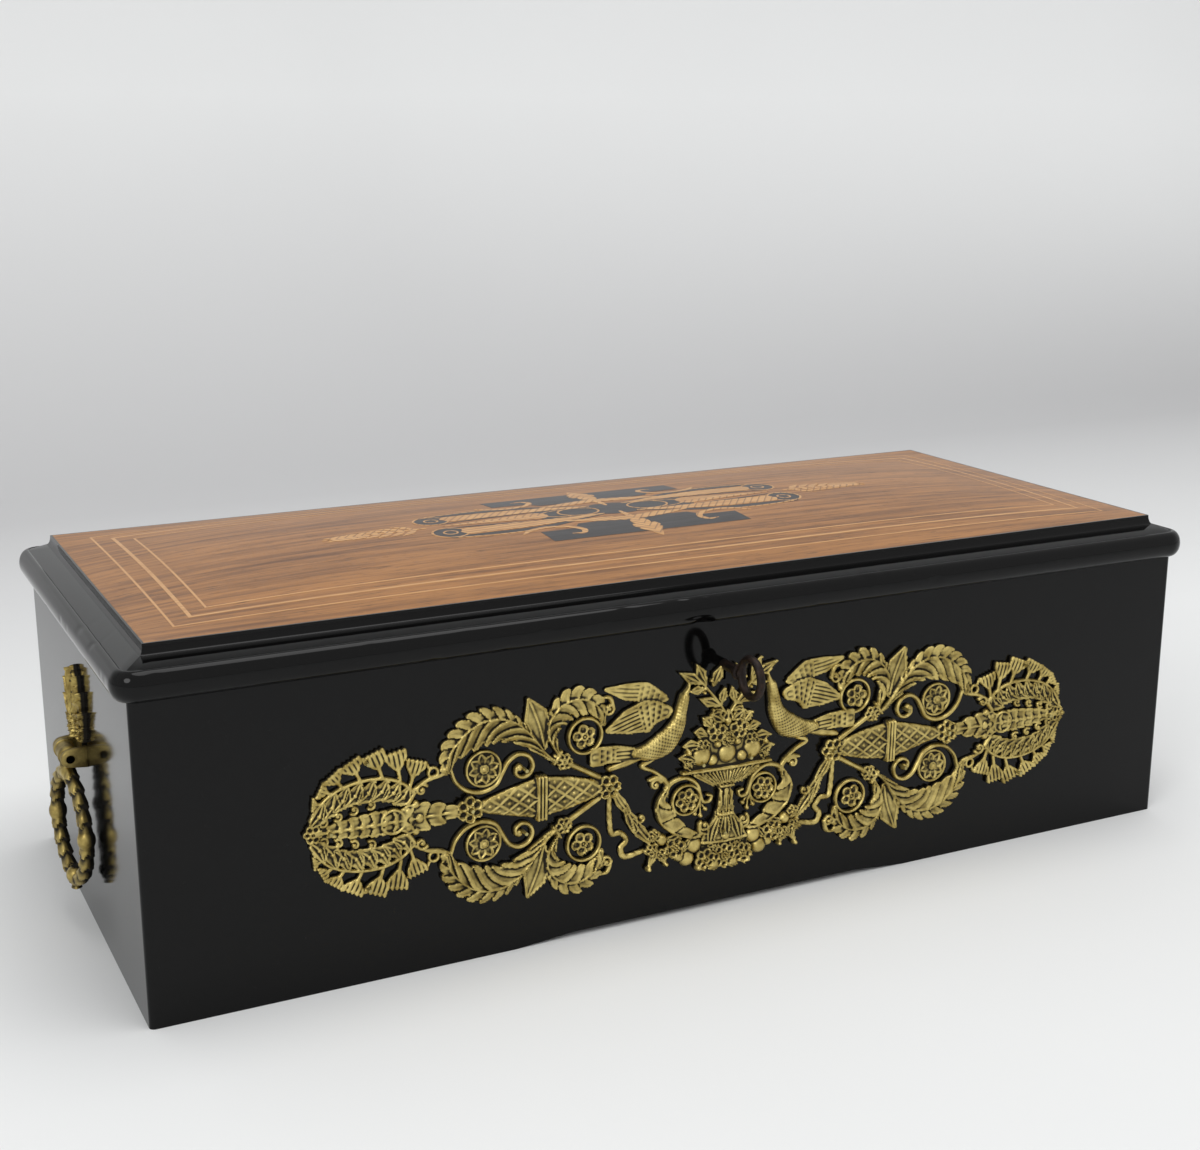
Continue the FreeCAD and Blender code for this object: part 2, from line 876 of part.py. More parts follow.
# Cast handles on the two ends: back plate with ears, pin and a hanging pointed bail.
def cartouche(width, height, lobes):
    """Lobed outline of a foliate plate, as one closed curve."""
    points = []
    count = lobes * 8
    for index in range(count):
        angle = 2 * math.pi * index / count
        swell = 0.9 + 0.1 * math.cos(lobes * angle)
        points.append(Vector(width / 2 * swell * math.cos(angle), height / 2 * swell * math.sin(angle), 0))
    curve = Part.BSplineCurve()
    curve.interpolate(points, PeriodicFlag=True)
    return Part.Face(Part.Wire(curve.toShape()))


def handle(word, side):
    """Side is -1 on the left end and 1 on the right end."""
    wall_x = half_length * side
    pin_x = wall_x + dim.handle_stand_off * side
    level = dim.handle_level
    thickness = dim.handle_plate_thickness

    def from_wall(start, length):
        """The low end along X of a stretch that begins a given way out from the wall."""
        return wall_x + start * side if side > 0 else wall_x + start * side - length

    outline = cartouche(float(dim.handle_plate_width), float(dim.handle_plate_height), 7)
    middle = float(level) + float(dim.handle_plate_height) / 2 + float(dim.ear_radius) * 0.7
    plate = feature(
        word + "_cartouche",
        prism(outline, float(thickness)),
        Placement(Vector(float(from_wall(0, thickness)), 0, middle), ACROSS_X),
    )
    boss = feature(
        word + "_plate_boss",
        prism(cartouche(float(dim.handle_plate_width) * 0.5, float(dim.handle_plate_height) * 0.6, 5),
              float(thickness) * 1.6),
        Placement(Vector(float(from_wall(0, thickness * 1.6)), 0, middle), ACROSS_X),
    )
    pieces = [plate, boss]
    tongue_width = dim.ear_spread + dim.ear_thickness * 2
    pieces.append(
        box(
            word + "_plate_tongue",
            (from_wall(0, thickness / 2), -tongue_width / 2, level - dim.ear_radius),
            (thickness / 2, tongue_width, dim.ear_radius * 3),
        )
    )
    for ear, y in (("front", -dim.ear_spread / 2 - dim.ear_thickness), ("back", dim.ear_spread / 2)):
        pieces.append(
            box(
                f"{word}_{ear}_ear",
                (from_wall(0, dim.handle_stand_off), y, level - dim.ear_radius),
                (dim.handle_stand_off, dim.ear_thickness, dim.ear_radius * 2),
            )
        )
        pieces.append(rod(f"{word}_{ear}_ear_round", (pin_x, y, level), "Y", dim.ear_radius, dim.ear_thickness))
    pin_length = dim.ear_spread + dim.ear_thickness * 2
    pin = rod(word + "_handle_pin", (pin_x, -pin_length / 2, level), "Y", dim.handle_pin_radius, pin_length)
    bail(word, pin_x, level)
    return cut(word + "_handle_plate", fuse(word + "_plate_blank", *pieces), pin), pin


def bail(word, pin_x, level):
    """Two bowed arms from an eye on the pin to a pointed foot, with a bead half-way down each."""
    drop = float(dim.bail_drop)
    neck = float(dim.bail_neck)
    reach = float(dim.bail_half_width)
    radius = float(dim.bail_wire_radius)
    half = (drop - neck) / 2
    middle = -neck - half
    bow = (half ** 2 + reach ** 2) / (2 * reach)
    sweep = math.degrees(math.asin(half / bow))
    section = Part.Face(Part.Wire(Part.makeCircle(radius, Vector(0, bow, 0), Vector(0, 0, 1))))
    arm = section.copy()
    arm.rotate(Vector(), Vector(1, 0, 0), -sweep)
    arm = arm.revolve(Vector(), Vector(1, 0, 0), 2 * sweep)
    arms = []
    for turn in (0, 180):
        side_arm = arm.copy()
        side_arm.translate(Vector(0, reach - bow, middle))
        side_arm.rotate(Vector(0, 0, middle), Vector(0, 0, 1), turn)
        arms.append(side_arm)
    beads = [Part.makeSphere(radius * 1.45, Vector(0, sign * reach, middle)) for sign in (-1, 1)]
    shank = Part.makeCylinder(radius, neck, Vector(0, 0, -neck))
    foot = Part.makeSphere(radius * 1.5, Vector(0, 0, -drop))
    eye_length = float(dim.ear_spread) - 2 * float(dim.bail_room)
    eye_radius = float(dim.ear_radius) - float(dim.bail_room)
    eye = Part.makeCylinder(eye_radius, eye_length, Vector(0, -eye_length / 2, 0), Vector(0, 1, 0))
    shape = arms[0].multiFuse([arms[1], foot, eye, shank] + beads)
    bore_radius = float(dim.handle_pin_radius + dim.running_fit)
    bore = Part.makeCylinder(bore_radius, 4 * reach, Vector(0, -2 * reach, 0), Vector(0, 1, 0))
    shape = shape.cut(bore)
    node(feature(word + "_bail", shape, Placement(Vector(float(pin_x), 0, float(level)), Rotation())))


left_plate, left_pin = handle("left", -1)
right_plate, right_pin = handle("right", 1)
node(group("handle_plates", left_plate, right_plate))
node(group("handle_pins", left_pin, right_pin))


# Gilt mount on the front: a fretwork of scrolls, drawn from its own centre with +v up.
MOUNT_PLACE = Placement(
    Vector(0, -float(half_depth), float(dim.mount_level)),
    Rotation(Vector(1, 0, 0), 90) * Rotation(Vector(0, 0, 1), float(dim.mount_tilt)),
)
MOUNT_PIN_POINTS = [
    (-195, 0), (-178, 29), (-178, -29), (-130, 0), (-104, 15), (-104, -15), (-61, 0),
    (-13, 4), (13, 4), (0, -32),
    (61, 0), (104, 15), (104, -15), (130, 0), (178, 29), (178, -29), (195, 0),
]


def disc(u, v, radius):
    return Part.Face(Part.Wire(Part.makeCircle(radius, Vector(u, v, 0))))


def ring(u, v, radius, hole):
    return disc(u, v, radius).cut(disc(u, v, hole))


def smooth(points):
    """Face inside one closed curve through the points."""
    curve = Part.BSplineCurve()
    curve.interpolate([Vector(u, v, 0) for u, v in points], PeriodicFlag=True)
    return Part.Face(Part.Wire(curve.toShape()))


def bar(start, end, width):
    """Straight web between two points."""
    along = Vector(end[0] - start[0], end[1] - start[1], 0)
    side = Vector(-along.y, along.x, 0)
    side.normalize()
    side = side * (width / 2)
    corners = [
        (start[0] + side.x, start[1] + side.y),
        (end[0] + side.x, end[1] + side.y),
        (end[0] - side.x, end[1] - side.y),
        (start[0] - side.x, start[1] - side.y),
    ]
    return polygon(corners)


def upside_down(shape):
    return shape.mirror(Vector(), Vector(0, 1, 0))


def other_side(shape):
    return shape.mirror(Vector(), Vector(1, 0, 0))


def casting(pieces):
    """One casting from flat faces, each raised to its own height over the web."""
    solids = [prism(face, height) for face, height in pieces]
    return solids[0].multiFuse(solids[1:]).removeSplitter()


def scroll_half(web):
    """Upper half of the left scroll casting, from the palmette to the inner rosette."""
    return [
        (ring(-123, 17, 9, 6.9), web * 1.2),
        (disc(-123, 17, 4.4), web * 1.6),
        (bar((-123, 8.5), (-123, 25.5), 1.6), web * 0.9),
        (bar((-131.5, 17), (-114.5, 17), 1.6), web * 0.9),
        (ring(-104.5, 15, 7, 3.2), web * 1.4),
        (bar((-116, 11), (-109, 10), 2.4), web),
        (smooth([(-144, 22), (-137, 36), (-123, 45), (-109, 41), (-99, 31), (-89, 18), (-101, 23),
                 (-119, 30), (-128, 27), (-139, 18)]), web * 1.5),
        (bar((-139, 19), (-129, 3), 3), web),
        (bar((-104, 21), (-108, 33), 3), web),
        (polygon([(-100.5, 46), (-105, 37), (-92, 25), (-91, 41)]), web * 1.8),
        (smooth([(-91, 40), (-82, 47), (-74, 49), (-64, 44), (-58, 38), (-66, 38), (-78, 36), (-86, 25)]),
         web * 1.5),
        (ring(-72.5, 24.5, 9.3, 7.2), web * 1.2),
        (disc(-72.5, 24.5, 5.2), web * 1.7),
        (bar((-72.5, 16), (-72.5, 33), 1.6), web * 0.9),
        (bar((-81, 24.5), (-64, 24.5), 1.6), web * 0.9),
        (bar((-72.5, 32), (-70, 41), 2.6), web),
        (disc(-83, 14, 3.8), web * 1.7),
        (bar((-61, 0), (-84, 15), 2.4), web),
        (bar((-83, 14), (-90, 20), 2.6), web),
        (smooth([(-152, 22), (-172, 32), (-190, 26), (-203, 14), (-206, 4), (-199, 8), (-190, 17),
                 (-172, 24), (-158, 17)]), web * 1.3),
        (disc(-198, 18, 3.2), web * 1.5),
        (disc(-192, 24, 3.4), web * 1.5),
        (disc(-184, 28, 3.6), web * 1.5),
        (disc(-174, 30.5, 3.6), web * 1.5),
        (disc(-164, 29, 3.4), web * 1.5),
        (disc(-155, 25, 3.2), web * 1.5),
        (bar((-155, 22), (-158, 4), 3), web),
        (bar((-178, 5), (-178, 26), 2.4), web),
    ]


def scroll_spine(web):
    """The stem along the middle of a scroll casting."""
    tongue = smooth([(-207, 0), (-196, 6), (-180, 6.5), (-162, 5), (-157, 0), (-162, -5), (-180, -6.5), (-196, -6)])
    return [
        (tongue, web * 1.5),
        (polygon([(-163, 4), (-158, 6.5), (-134, 4), (-134, -4), (-158, -6.5), (-163, -4)]), web * 1.7),
        (disc(-130.3, 0, 6), web * 1.9),
        (polygon([(-127, 4), (-98, 8), (-98, -8), (-127, -4)]), web * 1.6),
        (polygon([(-98.5, 9), (-92, 9), (-92, -9), (-98.5, -9)]), web * 2),
        (polygon([(-92.5, 8), (-63, 4.5), (-63, -4.5), (-92.5, -8)]), web * 1.6),
        (disc(-61, 0, 5.8), web * 1.9),
    ]


def scroll_casting():
    web = float(dim.mount_web)
    upper = scroll_half(web)
    lower = [(upside_down(face), height) for face, height in upper]
    return casting(scroll_spine(web) + upper + lower)


def basket_half(web):
    """Left half of the centre casting: bird, leaves, scroll and garland."""
    bird = smooth([(-21, 40), (-25, 40), (-27, 35), (-33, 23), (-43, 17), (-58, 15), (-57, 9), (-46, 8),
                   (-35, 6), (-26, 11), (-20, 24), (-18, 36)])
    front_wing = smooth([(-27, 30), (-38, 38), (-50, 34), (-57, 26), (-44, 24), (-32, 22)])
    rear_wing = smooth([(-30, 38), (-43, 46), (-57, 46), (-50, 39), (-38, 33)])
    scroll_leaf = smooth([(-27, -6), (-36, -12), (-34, -24), (-24, -33), (-13, -35), (-22, -28), (-28, -20),
                          (-29, -12)])
    return [
        (bird, web * 1.9),
        (front_wing, web * 2.2),
        (rear_wing, web * 1.4),
        (bar((-38, 8), (-19, -2), 3), web * 1.2),
        (disc(-12, 4, 6.2), web * 2.1),
        (disc(-7, 14, 6), web * 2),
        (bar((-3, 16), (-16, 43), 1.8), web),
        (smooth([(-10, 30), (-21, 34), (-16, 27)]), web * 1.3),
        (smooth([(-14, 38), (-24, 48), (-17, 47)]), web * 1.3),
        (smooth([(-14, 40), (-9, 50), (-8, 42)]), web * 1.3),
        (ring(-20.5, -16, 9, 6.9), web * 1.2),
        (disc(-20.5, -16, 5), web * 1.7),
        (bar((-29, -16), (-12, -16), 1.6), web * 0.9),
        (bar((-20.5, -24.5), (-20.5, -7.5), 1.6), web * 0.9),
        (scroll_leaf, web * 1.4),
        (bar((-13, -12), (-5, -8), 3), web),
        (bar((-15, -34), (-4, -34), 3), web),
        (disc(-39, -31, 4), web * 1.5),
        (bar((-39, -31), (-28, -37), 2.4), web),
        (disc(-28, -37, 5.6), web * 1.7),
        (disc(-17, -41, 5), web * 1.6),
        (disc(-8, -47, 5.6), web * 1.7),
        (bar((-28, -38), (-8, -45), 3), web),
        (smooth([(-58, -8), (-58, -20), (-50, -32), (-41, -33), (-44, -26), (-52, -18), (-53, -8)]), web),
        (bar((-55, -9), (-33, -13), 2.4), web),
    ]


def basket_middle(web):
    """Bowl of fruit on its foot, in the centre."""
    bowl = smooth([(-23, 0), (-15, -8), (0, -11), (15, -8), (23, 0), (12, 1.5), (0, 2), (-12, 1.5)])
    return [
        (bowl, web * 1.9),
        (disc(0, 8, 7.5), web * 2.2),
        (disc(0, 19, 5), web * 1.8),
        (polygon([(-3.4, -26), (-3.4, -9), (3.4, -9), (3.4, -26)]), web * 1.7),
        (polygon([(-9.5, -37), (-4, -25), (4, -25), (9.5, -37)]), web * 1.8),
        (disc(0, -42, 6), web * 1.7),
        (bar((0, -37), (0, -48), 6), web),
    ]


def basket_casting():
    web = float(dim.mount_web)
    left = basket_half(web)
    right = [(other_side(face), height) for face, height in left]
    return casting(basket_middle(web) + left + right)


def mount_pins():
    radius = float(dim.mount_pin_radius)
    length = float(dim.mount_pin_length)
    tall = float(dim.mount_web) * 2.6
    pins = [Part.makeCylinder(radius, length, Vector(u, v, tall - length)) for u, v in MOUNT_PIN_POINTS]
    return Part.makeCompound(pins)


mount_pin_group = node(feature("mount_pins", mount_pins(), MOUNT_PLACE))
left_scroll = scroll_casting()
for mount_name, mount_shape in (
    ("front_mount_left", left_scroll),
    ("front_mount_centre", basket_casting()),
    ("front_mount_right", other_side(left_scroll)),
):
    blank = feature(mount_name + "_blank", mount_shape, MOUNT_PLACE)
    node(cut(mount_name, blank, mount_pin_group))
front_pinned = cut("front_pinned", front_blank, mount_pin_group)
lock(front_pinned)
lid_link()
key()


# Fastenings of the movement, each solid cut from the pieces that it passes through.
screws = list(case_screws)


def screw(name, x, y, seat, head_radius, head_height, shank_radius, shank_length):
    """A cheese-headed screw that stands on a level seat."""
    item = fuse(
        name,
        rod(name + "_head", (x, y, seat), "Z", head_radius, head_height),
        rod(name + "_shank", (x, y, seat - shank_length), "Z", shank_radius, shank_length),
    )
    screws.append(item)
    return item


# Floor, bearers and bedplate.
bearer_top = dim.floor_thickness + dim.bearer_height
plate_left = dim.plate_centre_x - dim.plate_length / 2
bearer_middle = dim.bearer_width / 2
bed_blank = box(
    "bed_blank",
    (plate_left, -dim.plate_width / 2, bearer_top),
    (dim.plate_length, dim.plate_width, dim.plate_thickness),
)
bearer_blanks = []
plate_bolts = []
for word, side in (("left", -1), ("right", 1)):
    middle = dim.plate_centre_x + (dim.plate_length / 2 - bearer_middle) * side
    bearer_blanks.append(
        box(
            word + "_bearer_blank",
            (middle - dim.bearer_width / 2, -dim.plate_width / 2, dim.floor_thickness),
            (dim.bearer_width, dim.plate_width, dim.bearer_height),
        )
    )
    for place_word, bolt_y in (("front", -dim.plate_bolt_front), ("back", dim.plate_bolt_back)):
        plate_bolts.append(
            screw(
                f"{word}_{place_word}_plate_bolt",
                middle,
                bolt_y,
                plate_top,
                dim.plate_bolt_head_radius,
                dim.plate_bolt_head_radius * 0.7,
                dim.plate_bolt_radius,
                dim.plate_thickness + dim.bearer_height + dim.floor_thickness / 2,
            )
        )
plate_bolt_group = group("plate_bolts", *plate_bolts)
node(cut("bearers", group("bearer_pair", *bearer_blanks), plate_bolt_group))
node(cut("bottom_board", bottom_blank, plate_bolt_group))

# Bridges that carry the cylinder and the spring barrel.
tooth_sum = dim.barrel_wheel_teeth + dim.cylinder_pinion_teeth
barrel_y = cylinder_y + tooth_sum * dim.barrel_module / 2
barrel_right = dim.barrel_wheel_left + dim.barrel_wheel_thickness
drum_left = dim.barrel_wheel_left - dim.barrel_length
cylinder_right = dim.cylinder_left + dim.cylinder_length
great_right = dim.great_wheel_left + dim.great_wheel_thickness
left_bridge_x = dim.barrel_wheel_left - dim.bridge_thickness - 3
right_bridge_x = dim.worm_x - dim.bridge_thickness - 1
barrel_outer_x = drum_left - dim.bridge_thickness - 7
barrel_inner_x = barrel_right + 3


def bridge(name, x, y, bore_radius):
    """Upright plate with a round crown, a screwed foot and a bearing hole."""
    width = dim.bridge_width
    thickness = dim.bridge_thickness
    foot_start = x - thickness
    foot_long = thickness * 3
    plain = fuse(
        name + "_blank",
        box(name + "_web", (x, y - width / 2, plate_top), (thickness, width, axis_z - plate_top)),
        rod(name + "_crown", (x, y, axis_z), "X", width / 2, thickness),
        box(
            name + "_foot",
            (foot_start, y - dim.bridge_foot / 2, plate_top),
            (foot_long, dim.bridge_foot, dim.bridge_foot_height),
        ),
    )
    bore = rod(name + "_bore", (x - 1, y, axis_z), "X", bore_radius, thickness + 2)
    holders = []
    for word, side in (("front", -1), ("back", 1)):
        holders.append(
            screw(
                f"{name}_{word}_screw",
                x + thickness / 2,
                y + (dim.bridge_foot + width) / 4 * side,
                plate_top + dim.bridge_foot_height,
                2.2,
                1.8,
                1.5,
                dim.bridge_foot_height + dim.plate_thickness * 0.7,
            )
        )
    return cut(name, plain, bore, *holders)


pivot_bore = dim.pivot_radius + dim.running_fit
barrel_bore = dim.barrel_arbor_radius + dim.running_fit
bridges = [
    bridge("left_cylinder_bridge", left_bridge_x, cylinder_y, pivot_bore),
    bridge("right_cylinder_bridge", right_bridge_x, cylinder_y, pivot_bore),
    bridge("outer_barrel_bridge", barrel_outer_x, barrel_y, barrel_bore),
    bridge("inner_barrel_bridge", barrel_inner_x, barrel_y, barrel_bore),
]
node(group("bridges", *bridges))


# Toothed wheels.
def gear_face(teeth, module, bore, half_pitch_turn=False, addendum=0.9, play=0.12):
    """Wheel outline with involute flanks, one arc to a flank."""
    teeth = int(round(float(teeth)))
    module = float(module)
    pitch_radius = teeth * module / 2
    pressure = math.radians(20)
    base_radius = pitch_radius * math.cos(pressure)
    tip_radius = pitch_radius + addendum * module
    root_radius = pitch_radius - 1.3 * module
    half_tooth = math.pi / (2 * teeth) - play / pitch_radius / 2

    def spread(radius):
        """Half the angle that a tooth fills at a radius."""
        lean = math.acos(base_radius / max(radius, base_radius))
        return half_tooth + math.tan(pressure) - pressure - (math.tan(lean) - lean)

    def point(radius, angle):
        return Vector(radius * math.cos(angle), radius * math.sin(angle), 0)

    edges = []
    pitch_angle = 2 * math.pi / teeth
    start = pitch_angle / 2 if half_pitch_turn else 0
    radii = (root_radius, pitch_radius, tip_radius)
    for index in range(teeth):
        angle = start + pitch_angle * index
        rise = [point(radius, angle - spread(radius)) for radius in radii]
        fall = [point(radius, angle + spread(radius)) for radius in reversed(radii)]
        following = point(root_radius, angle + pitch_angle - spread(root_radius))
        edges.append(Part.Arc(*rise).toShape())
        edges.append(Part.LineSegment(rise[-1], fall[0]).toShape())
        edges.append(Part.Arc(*fall).toShape())
        edges.append(Part.LineSegment(fall[-1], following).toShape())
    return Part.Face(Part.Wire(edges)).cut(disc(0, 0, float(bore)))


def facing_x(x, y, z):
    """Place of an outline that is raised along X, with its own origin at the given point."""
    return Placement(Vector(float(x), float(y), float(z)), ACROSS_X)


def across(face, x, thickness, y, z):
    return prism(face, float(thickness)), facing_x(x, y, z)


# Cylinder with its arbor.
tube = cut(
    "cylinder_tube",
    rod("tube_outer", (dim.cylinder_left, cylinder_y, axis_z), "X", dim.cylinder_radius, dim.cylinder_length),
    rod(
        "tube_inner",
        (dim.cylinder_left - 1, cylinder_y, axis_z),
        "X",
        dim.cylinder_radius - dim.cylinder_wall,
        dim.cylinder_length + 2,
    ),
)
node(tube)
caps = []
for word, x in (("left", dim.cylinder_left), ("right", cylinder_right - dim.cap_thickness)):
    caps.append(
        cut(
            word + "_cap",
            rod(
                word + "_cap_disc",
                (x, cylinder_y, axis_z),
                "X",
                dim.cylinder_radius - dim.cylinder_wall,
                dim.cap_thickness,
            ),
            rod(
                word + "_cap_bore",
                (x - 1, cylinder_y, axis_z),
                "X",
                dim.arbor_radius + dim.running_fit,
                dim.cap_thickness + 2,
            ),
        )
    )
follower_y = cylinder_y + dim.arbor_radius * 3
follower = rod("follower_pin", (cylinder_right, follower_y, axis_z), "X", 1, dim.follower_length)
node(group("cylinder_end_caps", caps[0], fuse("right_cap_and_follower", caps[1], follower)))


def cylinder_pins():
    """Pins round the tube: two to each comb tooth, in a turning pattern."""
    pins = []
    radius = float(dim.cylinder_radius)
    pitch = float(dim.tooth_pitch)
    for index in range(int(float(dim.tooth_count))):
        for part in range(2):
            angle = math.radians(137.5 * index + 100 * part)
            outward = Vector(0, math.cos(angle), math.sin(angle))
            x = float(dim.comb_left) + pitch * (index + 0.5)
            foot = Vector(x, float(cylinder_y), float(axis_z)) + outward * radius
            pins.append(Part.makeCylinder(float(dim.pin_radius), float(dim.pin_height), foot, outward))
    return Part.makeCompound(pins)


node(feature("cylinder_pins", cylinder_pins()))
arbor_left = left_bridge_x + dim.bridge_thickness + 2
arbor_right = right_bridge_x - 2
pinion_shape, pinion_place = across(
    gear_face(dim.cylinder_pinion_teeth, dim.barrel_module, dim.arbor_radius * 0.5, half_pitch_turn=True),
    dim.barrel_wheel_left + 0.5,
    dim.barrel_wheel_thickness - 1,
    cylinder_y,
    axis_z,
)
node(
    fuse(
        "cylinder_arbor",
        rod("arbor_body", (arbor_left, cylinder_y, axis_z), "X", dim.arbor_radius, arbor_right - arbor_left),
        rod(
            "arbor_left_pivot",
            (left_bridge_x - 3, cylinder_y, axis_z),
            "X",
            dim.pivot_radius,
            arbor_left - left_bridge_x + 3,
        ),
        rod(
            "arbor_right_pivot",
            (arbor_right, cylinder_y, axis_z),
            "X",
            dim.pivot_radius,
            dim.bridge_thickness + 4,
        ),
        feature("cylinder_pinion", pinion_shape, pinion_place),
    )
)
great_face = gear_face(dim.great_wheel_teeth, dim.governor_module, dim.arbor_radius)
for index in range(5):
    spoke_angle = 2 * math.pi * (index + 0.5) / 5
    great_face = great_face.cut(disc(17 * math.cos(spoke_angle), 17 * math.sin(spoke_angle), 6.5))
great_shape, great_place = across(
    great_face, dim.great_wheel_left, dim.great_wheel_thickness, cylinder_y, axis_z
)
node(feature("great_wheel", great_shape, great_place))


# Spring barrel, mainspring, winding arbor and ratchet.
drum = cut(
    "barrel_drum",
    rod("drum_outer", (drum_left, barrel_y, axis_z), "X", dim.barrel_radius, dim.barrel_length),
    rod(
        "drum_inner",
        (drum_left + dim.barrel_wall, barrel_y, axis_z),
        "X",
        dim.barrel_radius - dim.barrel_wall,
        dim.barrel_length - dim.barrel_wall * 2,
    ),
    rod("drum_bore", (drum_left - 1, barrel_y, axis_z), "X", barrel_bore, dim.barrel_length + 2),
)
wheel_shape, wheel_place = across(
    gear_face(dim.barrel_wheel_teeth, dim.barrel_module, barrel_bore),
    dim.barrel_wheel_left,
    dim.barrel_wheel_thickness,
    barrel_y,
    axis_z,
)
node(fuse("spring_barrel", drum, feature("barrel_wheel", wheel_shape, wheel_place)))


def spring_spiral():
    """Coiled strip in half-turn arcs, whose outer end meets the drum's wall."""
    start = float(dim.spring_core_radius)
    wall = float(dim.barrel_radius - dim.barrel_wall)
    halves = int(float(dim.spring_turns)) * 2
    step = (wall - start) / halves
    thickness = float(dim.spring_thickness)
    outer = []
    inner = []
    for index in range(halves):
        centre = Vector(0 if index % 2 == 0 else step, 0, 0)
        sign = 1 if index % 2 == 0 else -1
        for radius, edges in ((start + step * index, outer), (start + step * index - thickness, inner)):
            points = [
                centre + Vector(sign * radius, 0, 0),
                centre + Vector(0, sign * radius, 0),
                centre + Vector(-sign * radius, 0, 0),
            ]
            edges.append(Part.Arc(*points).toShape())
    ends = [
        Part.LineSegment(Vector(start, 0, 0), Vector(start - thickness, 0, 0)).toShape(),
        Part.LineSegment(Vector(wall, 0, 0), Vector(wall - thickness, 0, 0)).toShape(),
    ]
    return Part.Face(Part.Wire(Part.__sortEdges__(outer + inner + ends)))


spring_shape, spring_place = across(
    spring_spiral(),
    drum_left + dim.barrel_wall + dim.spring_room,
    dim.barrel_length - dim.barrel_wall * 2 - dim.spring_room * 2,
    barrel_y,
    axis_z,
)
node(feature("mainspring", spring_shape, spring_place))
left_partition_left = dim.left_partition_x - dim.partition_thickness / 2
ratchet_right = left_partition_left - 2.5
ratchet_left = ratchet_right - dim.ratchet_thickness
lever_right = ratchet_left - 1
lever_left = lever_right - dim.lever_thickness
node(
    rod(
        "winding_arbor",
        (lever_left - 1, barrel_y, axis_z),
        "X",
        dim.barrel_arbor_radius,
        barrel_inner_x + dim.bridge_thickness - lever_left + 1,
    )
)


def ratchet_face():
    """Saw-toothed outline: each tooth slopes up to its tip and drops straight back."""
    count = int(float(dim.ratchet_teeth))
    tip = float(dim.ratchet_radius)
    root = tip - float(dim.ratchet_depth)
    points = []
    for index in range(count):
        angle = 2 * math.pi * index / count
        points.append((tip * math.cos(angle), tip * math.sin(angle)))
        points.append((root * math.cos(angle), root * math.sin(angle)))
    return polygon(points).cut(disc(0, 0, float(dim.barrel_arbor_radius)))


ratchet_shape, ratchet_place = across(ratchet_face(), ratchet_left, dim.ratchet_thickness, barrel_y, axis_z)
node(feature("ratchet_wheel", ratchet_shape, ratchet_place))


def pawl(pivot, nose, eye_radius, hole_radius, thickness):
    """A round eye drawn out to a pointed nose; both places are taken from the arbor's centre."""
    along = Vector(nose[0] - pivot[0], nose[1] - pivot[1], 0)
    side = Vector(-along.y, along.x, 0)
    side.normalize()
    side = side * eye_radius * 0.7
    finger = polygon([
        (pivot[0] + side.x, pivot[1] + side.y),
        nose,
        (pivot[0] - side.x, pivot[1] - side.y),
    ])
    eye = prism(disc(pivot[0], pivot[1], eye_radius), float(thickness))
    hole = prism(disc(pivot[0], pivot[1], hole_radius), float(thickness))
    return eye.fuse(prism(finger, float(thickness))).cut(hole)


def on_ratchet(angle):
    """Point just clear of the ratchet's tips at an angle."""
    reach = float(dim.ratchet_radius + dim.click_room)
    return (reach * math.cos(math.radians(angle)), reach * math.sin(math.radians(angle)))


pawl_pivot = (-float(dim.ratchet_radius) - 7, 0.0)
click_pivot = (25.0, -13.0)
stud_radius = 2.0
node(
    feature(
        "drive_pawl",
        pawl(pawl_pivot, on_ratchet(145), 3.2, stud_radius * 0.8, dim.ratchet_thickness),
        facing_x(lever_right, barrel_y, axis_z),
    )
)
node(
    feature(
        "holding_click",
        pawl(
            click_pivot,
            on_ratchet(-30),
            3.8,
            stud_radius + float(dim.running_fit),
            dim.ratchet_thickness - 0.5,
        ),
        facing_x(ratchet_left + 0.25, barrel_y, axis_z),
    )
)
click_stud = rod(
    "click_stud",
    (ratchet_left, barrel_y + click_pivot[0], axis_z + click_pivot[1]),
    "X",
    stud_radius,
    left_partition_left - ratchet_left + dim.partition_thickness / 2,
)
screws.append(click_stud)
spring_foot = box(
    "click_spring_foot",
    (ratchet_left + 0.5, barrel_y + 32, axis_z - 34),
    (left_partition_left - ratchet_left - 0.5, 6, 6),
)
strip_face = polygon([(32, -29), (32, -28.2), (14, -20.6), (14, -21.4)])
strip_shape, strip_place = across(strip_face, ratchet_left + 0.5, 3, barrel_y, axis_z)
node(fuse("click_spring", spring_foot, feature("click_spring_strip", strip_shape, strip_place)))
pawl_stud = rod(
    "pawl_stud",
    (lever_left + 1, barrel_y + pawl_pivot[0], axis_z),
    "X",
    stud_radius * 0.8,
    ratchet_right - lever_left - 1,
)
lever_blank = fuse(
    "lever_blank",
    rod("lever_hub", (lever_left, barrel_y, axis_z), "X", dim.lever_hub_radius, dim.lever_thickness),
    box(
        "lever_arm",
        (lever_left, barrel_y - dim.lever_length, axis_z - dim.lever_width / 2),
        (dim.lever_thickness, dim.lever_length, dim.lever_width),
    ),
    rod(
        "lever_end",
        (lever_left, barrel_y - dim.lever_length, axis_z),
        "X",
        dim.lever_width / 2,
        dim.lever_thickness,
    ),
    pawl_stud,
)
node(
    cut(
        "winding_lever",
        lever_blank,
        rod("lever_bore", (lever_left - 1, barrel_y, axis_z), "X", barrel_bore, dim.lever_thickness + 2),
    )
)
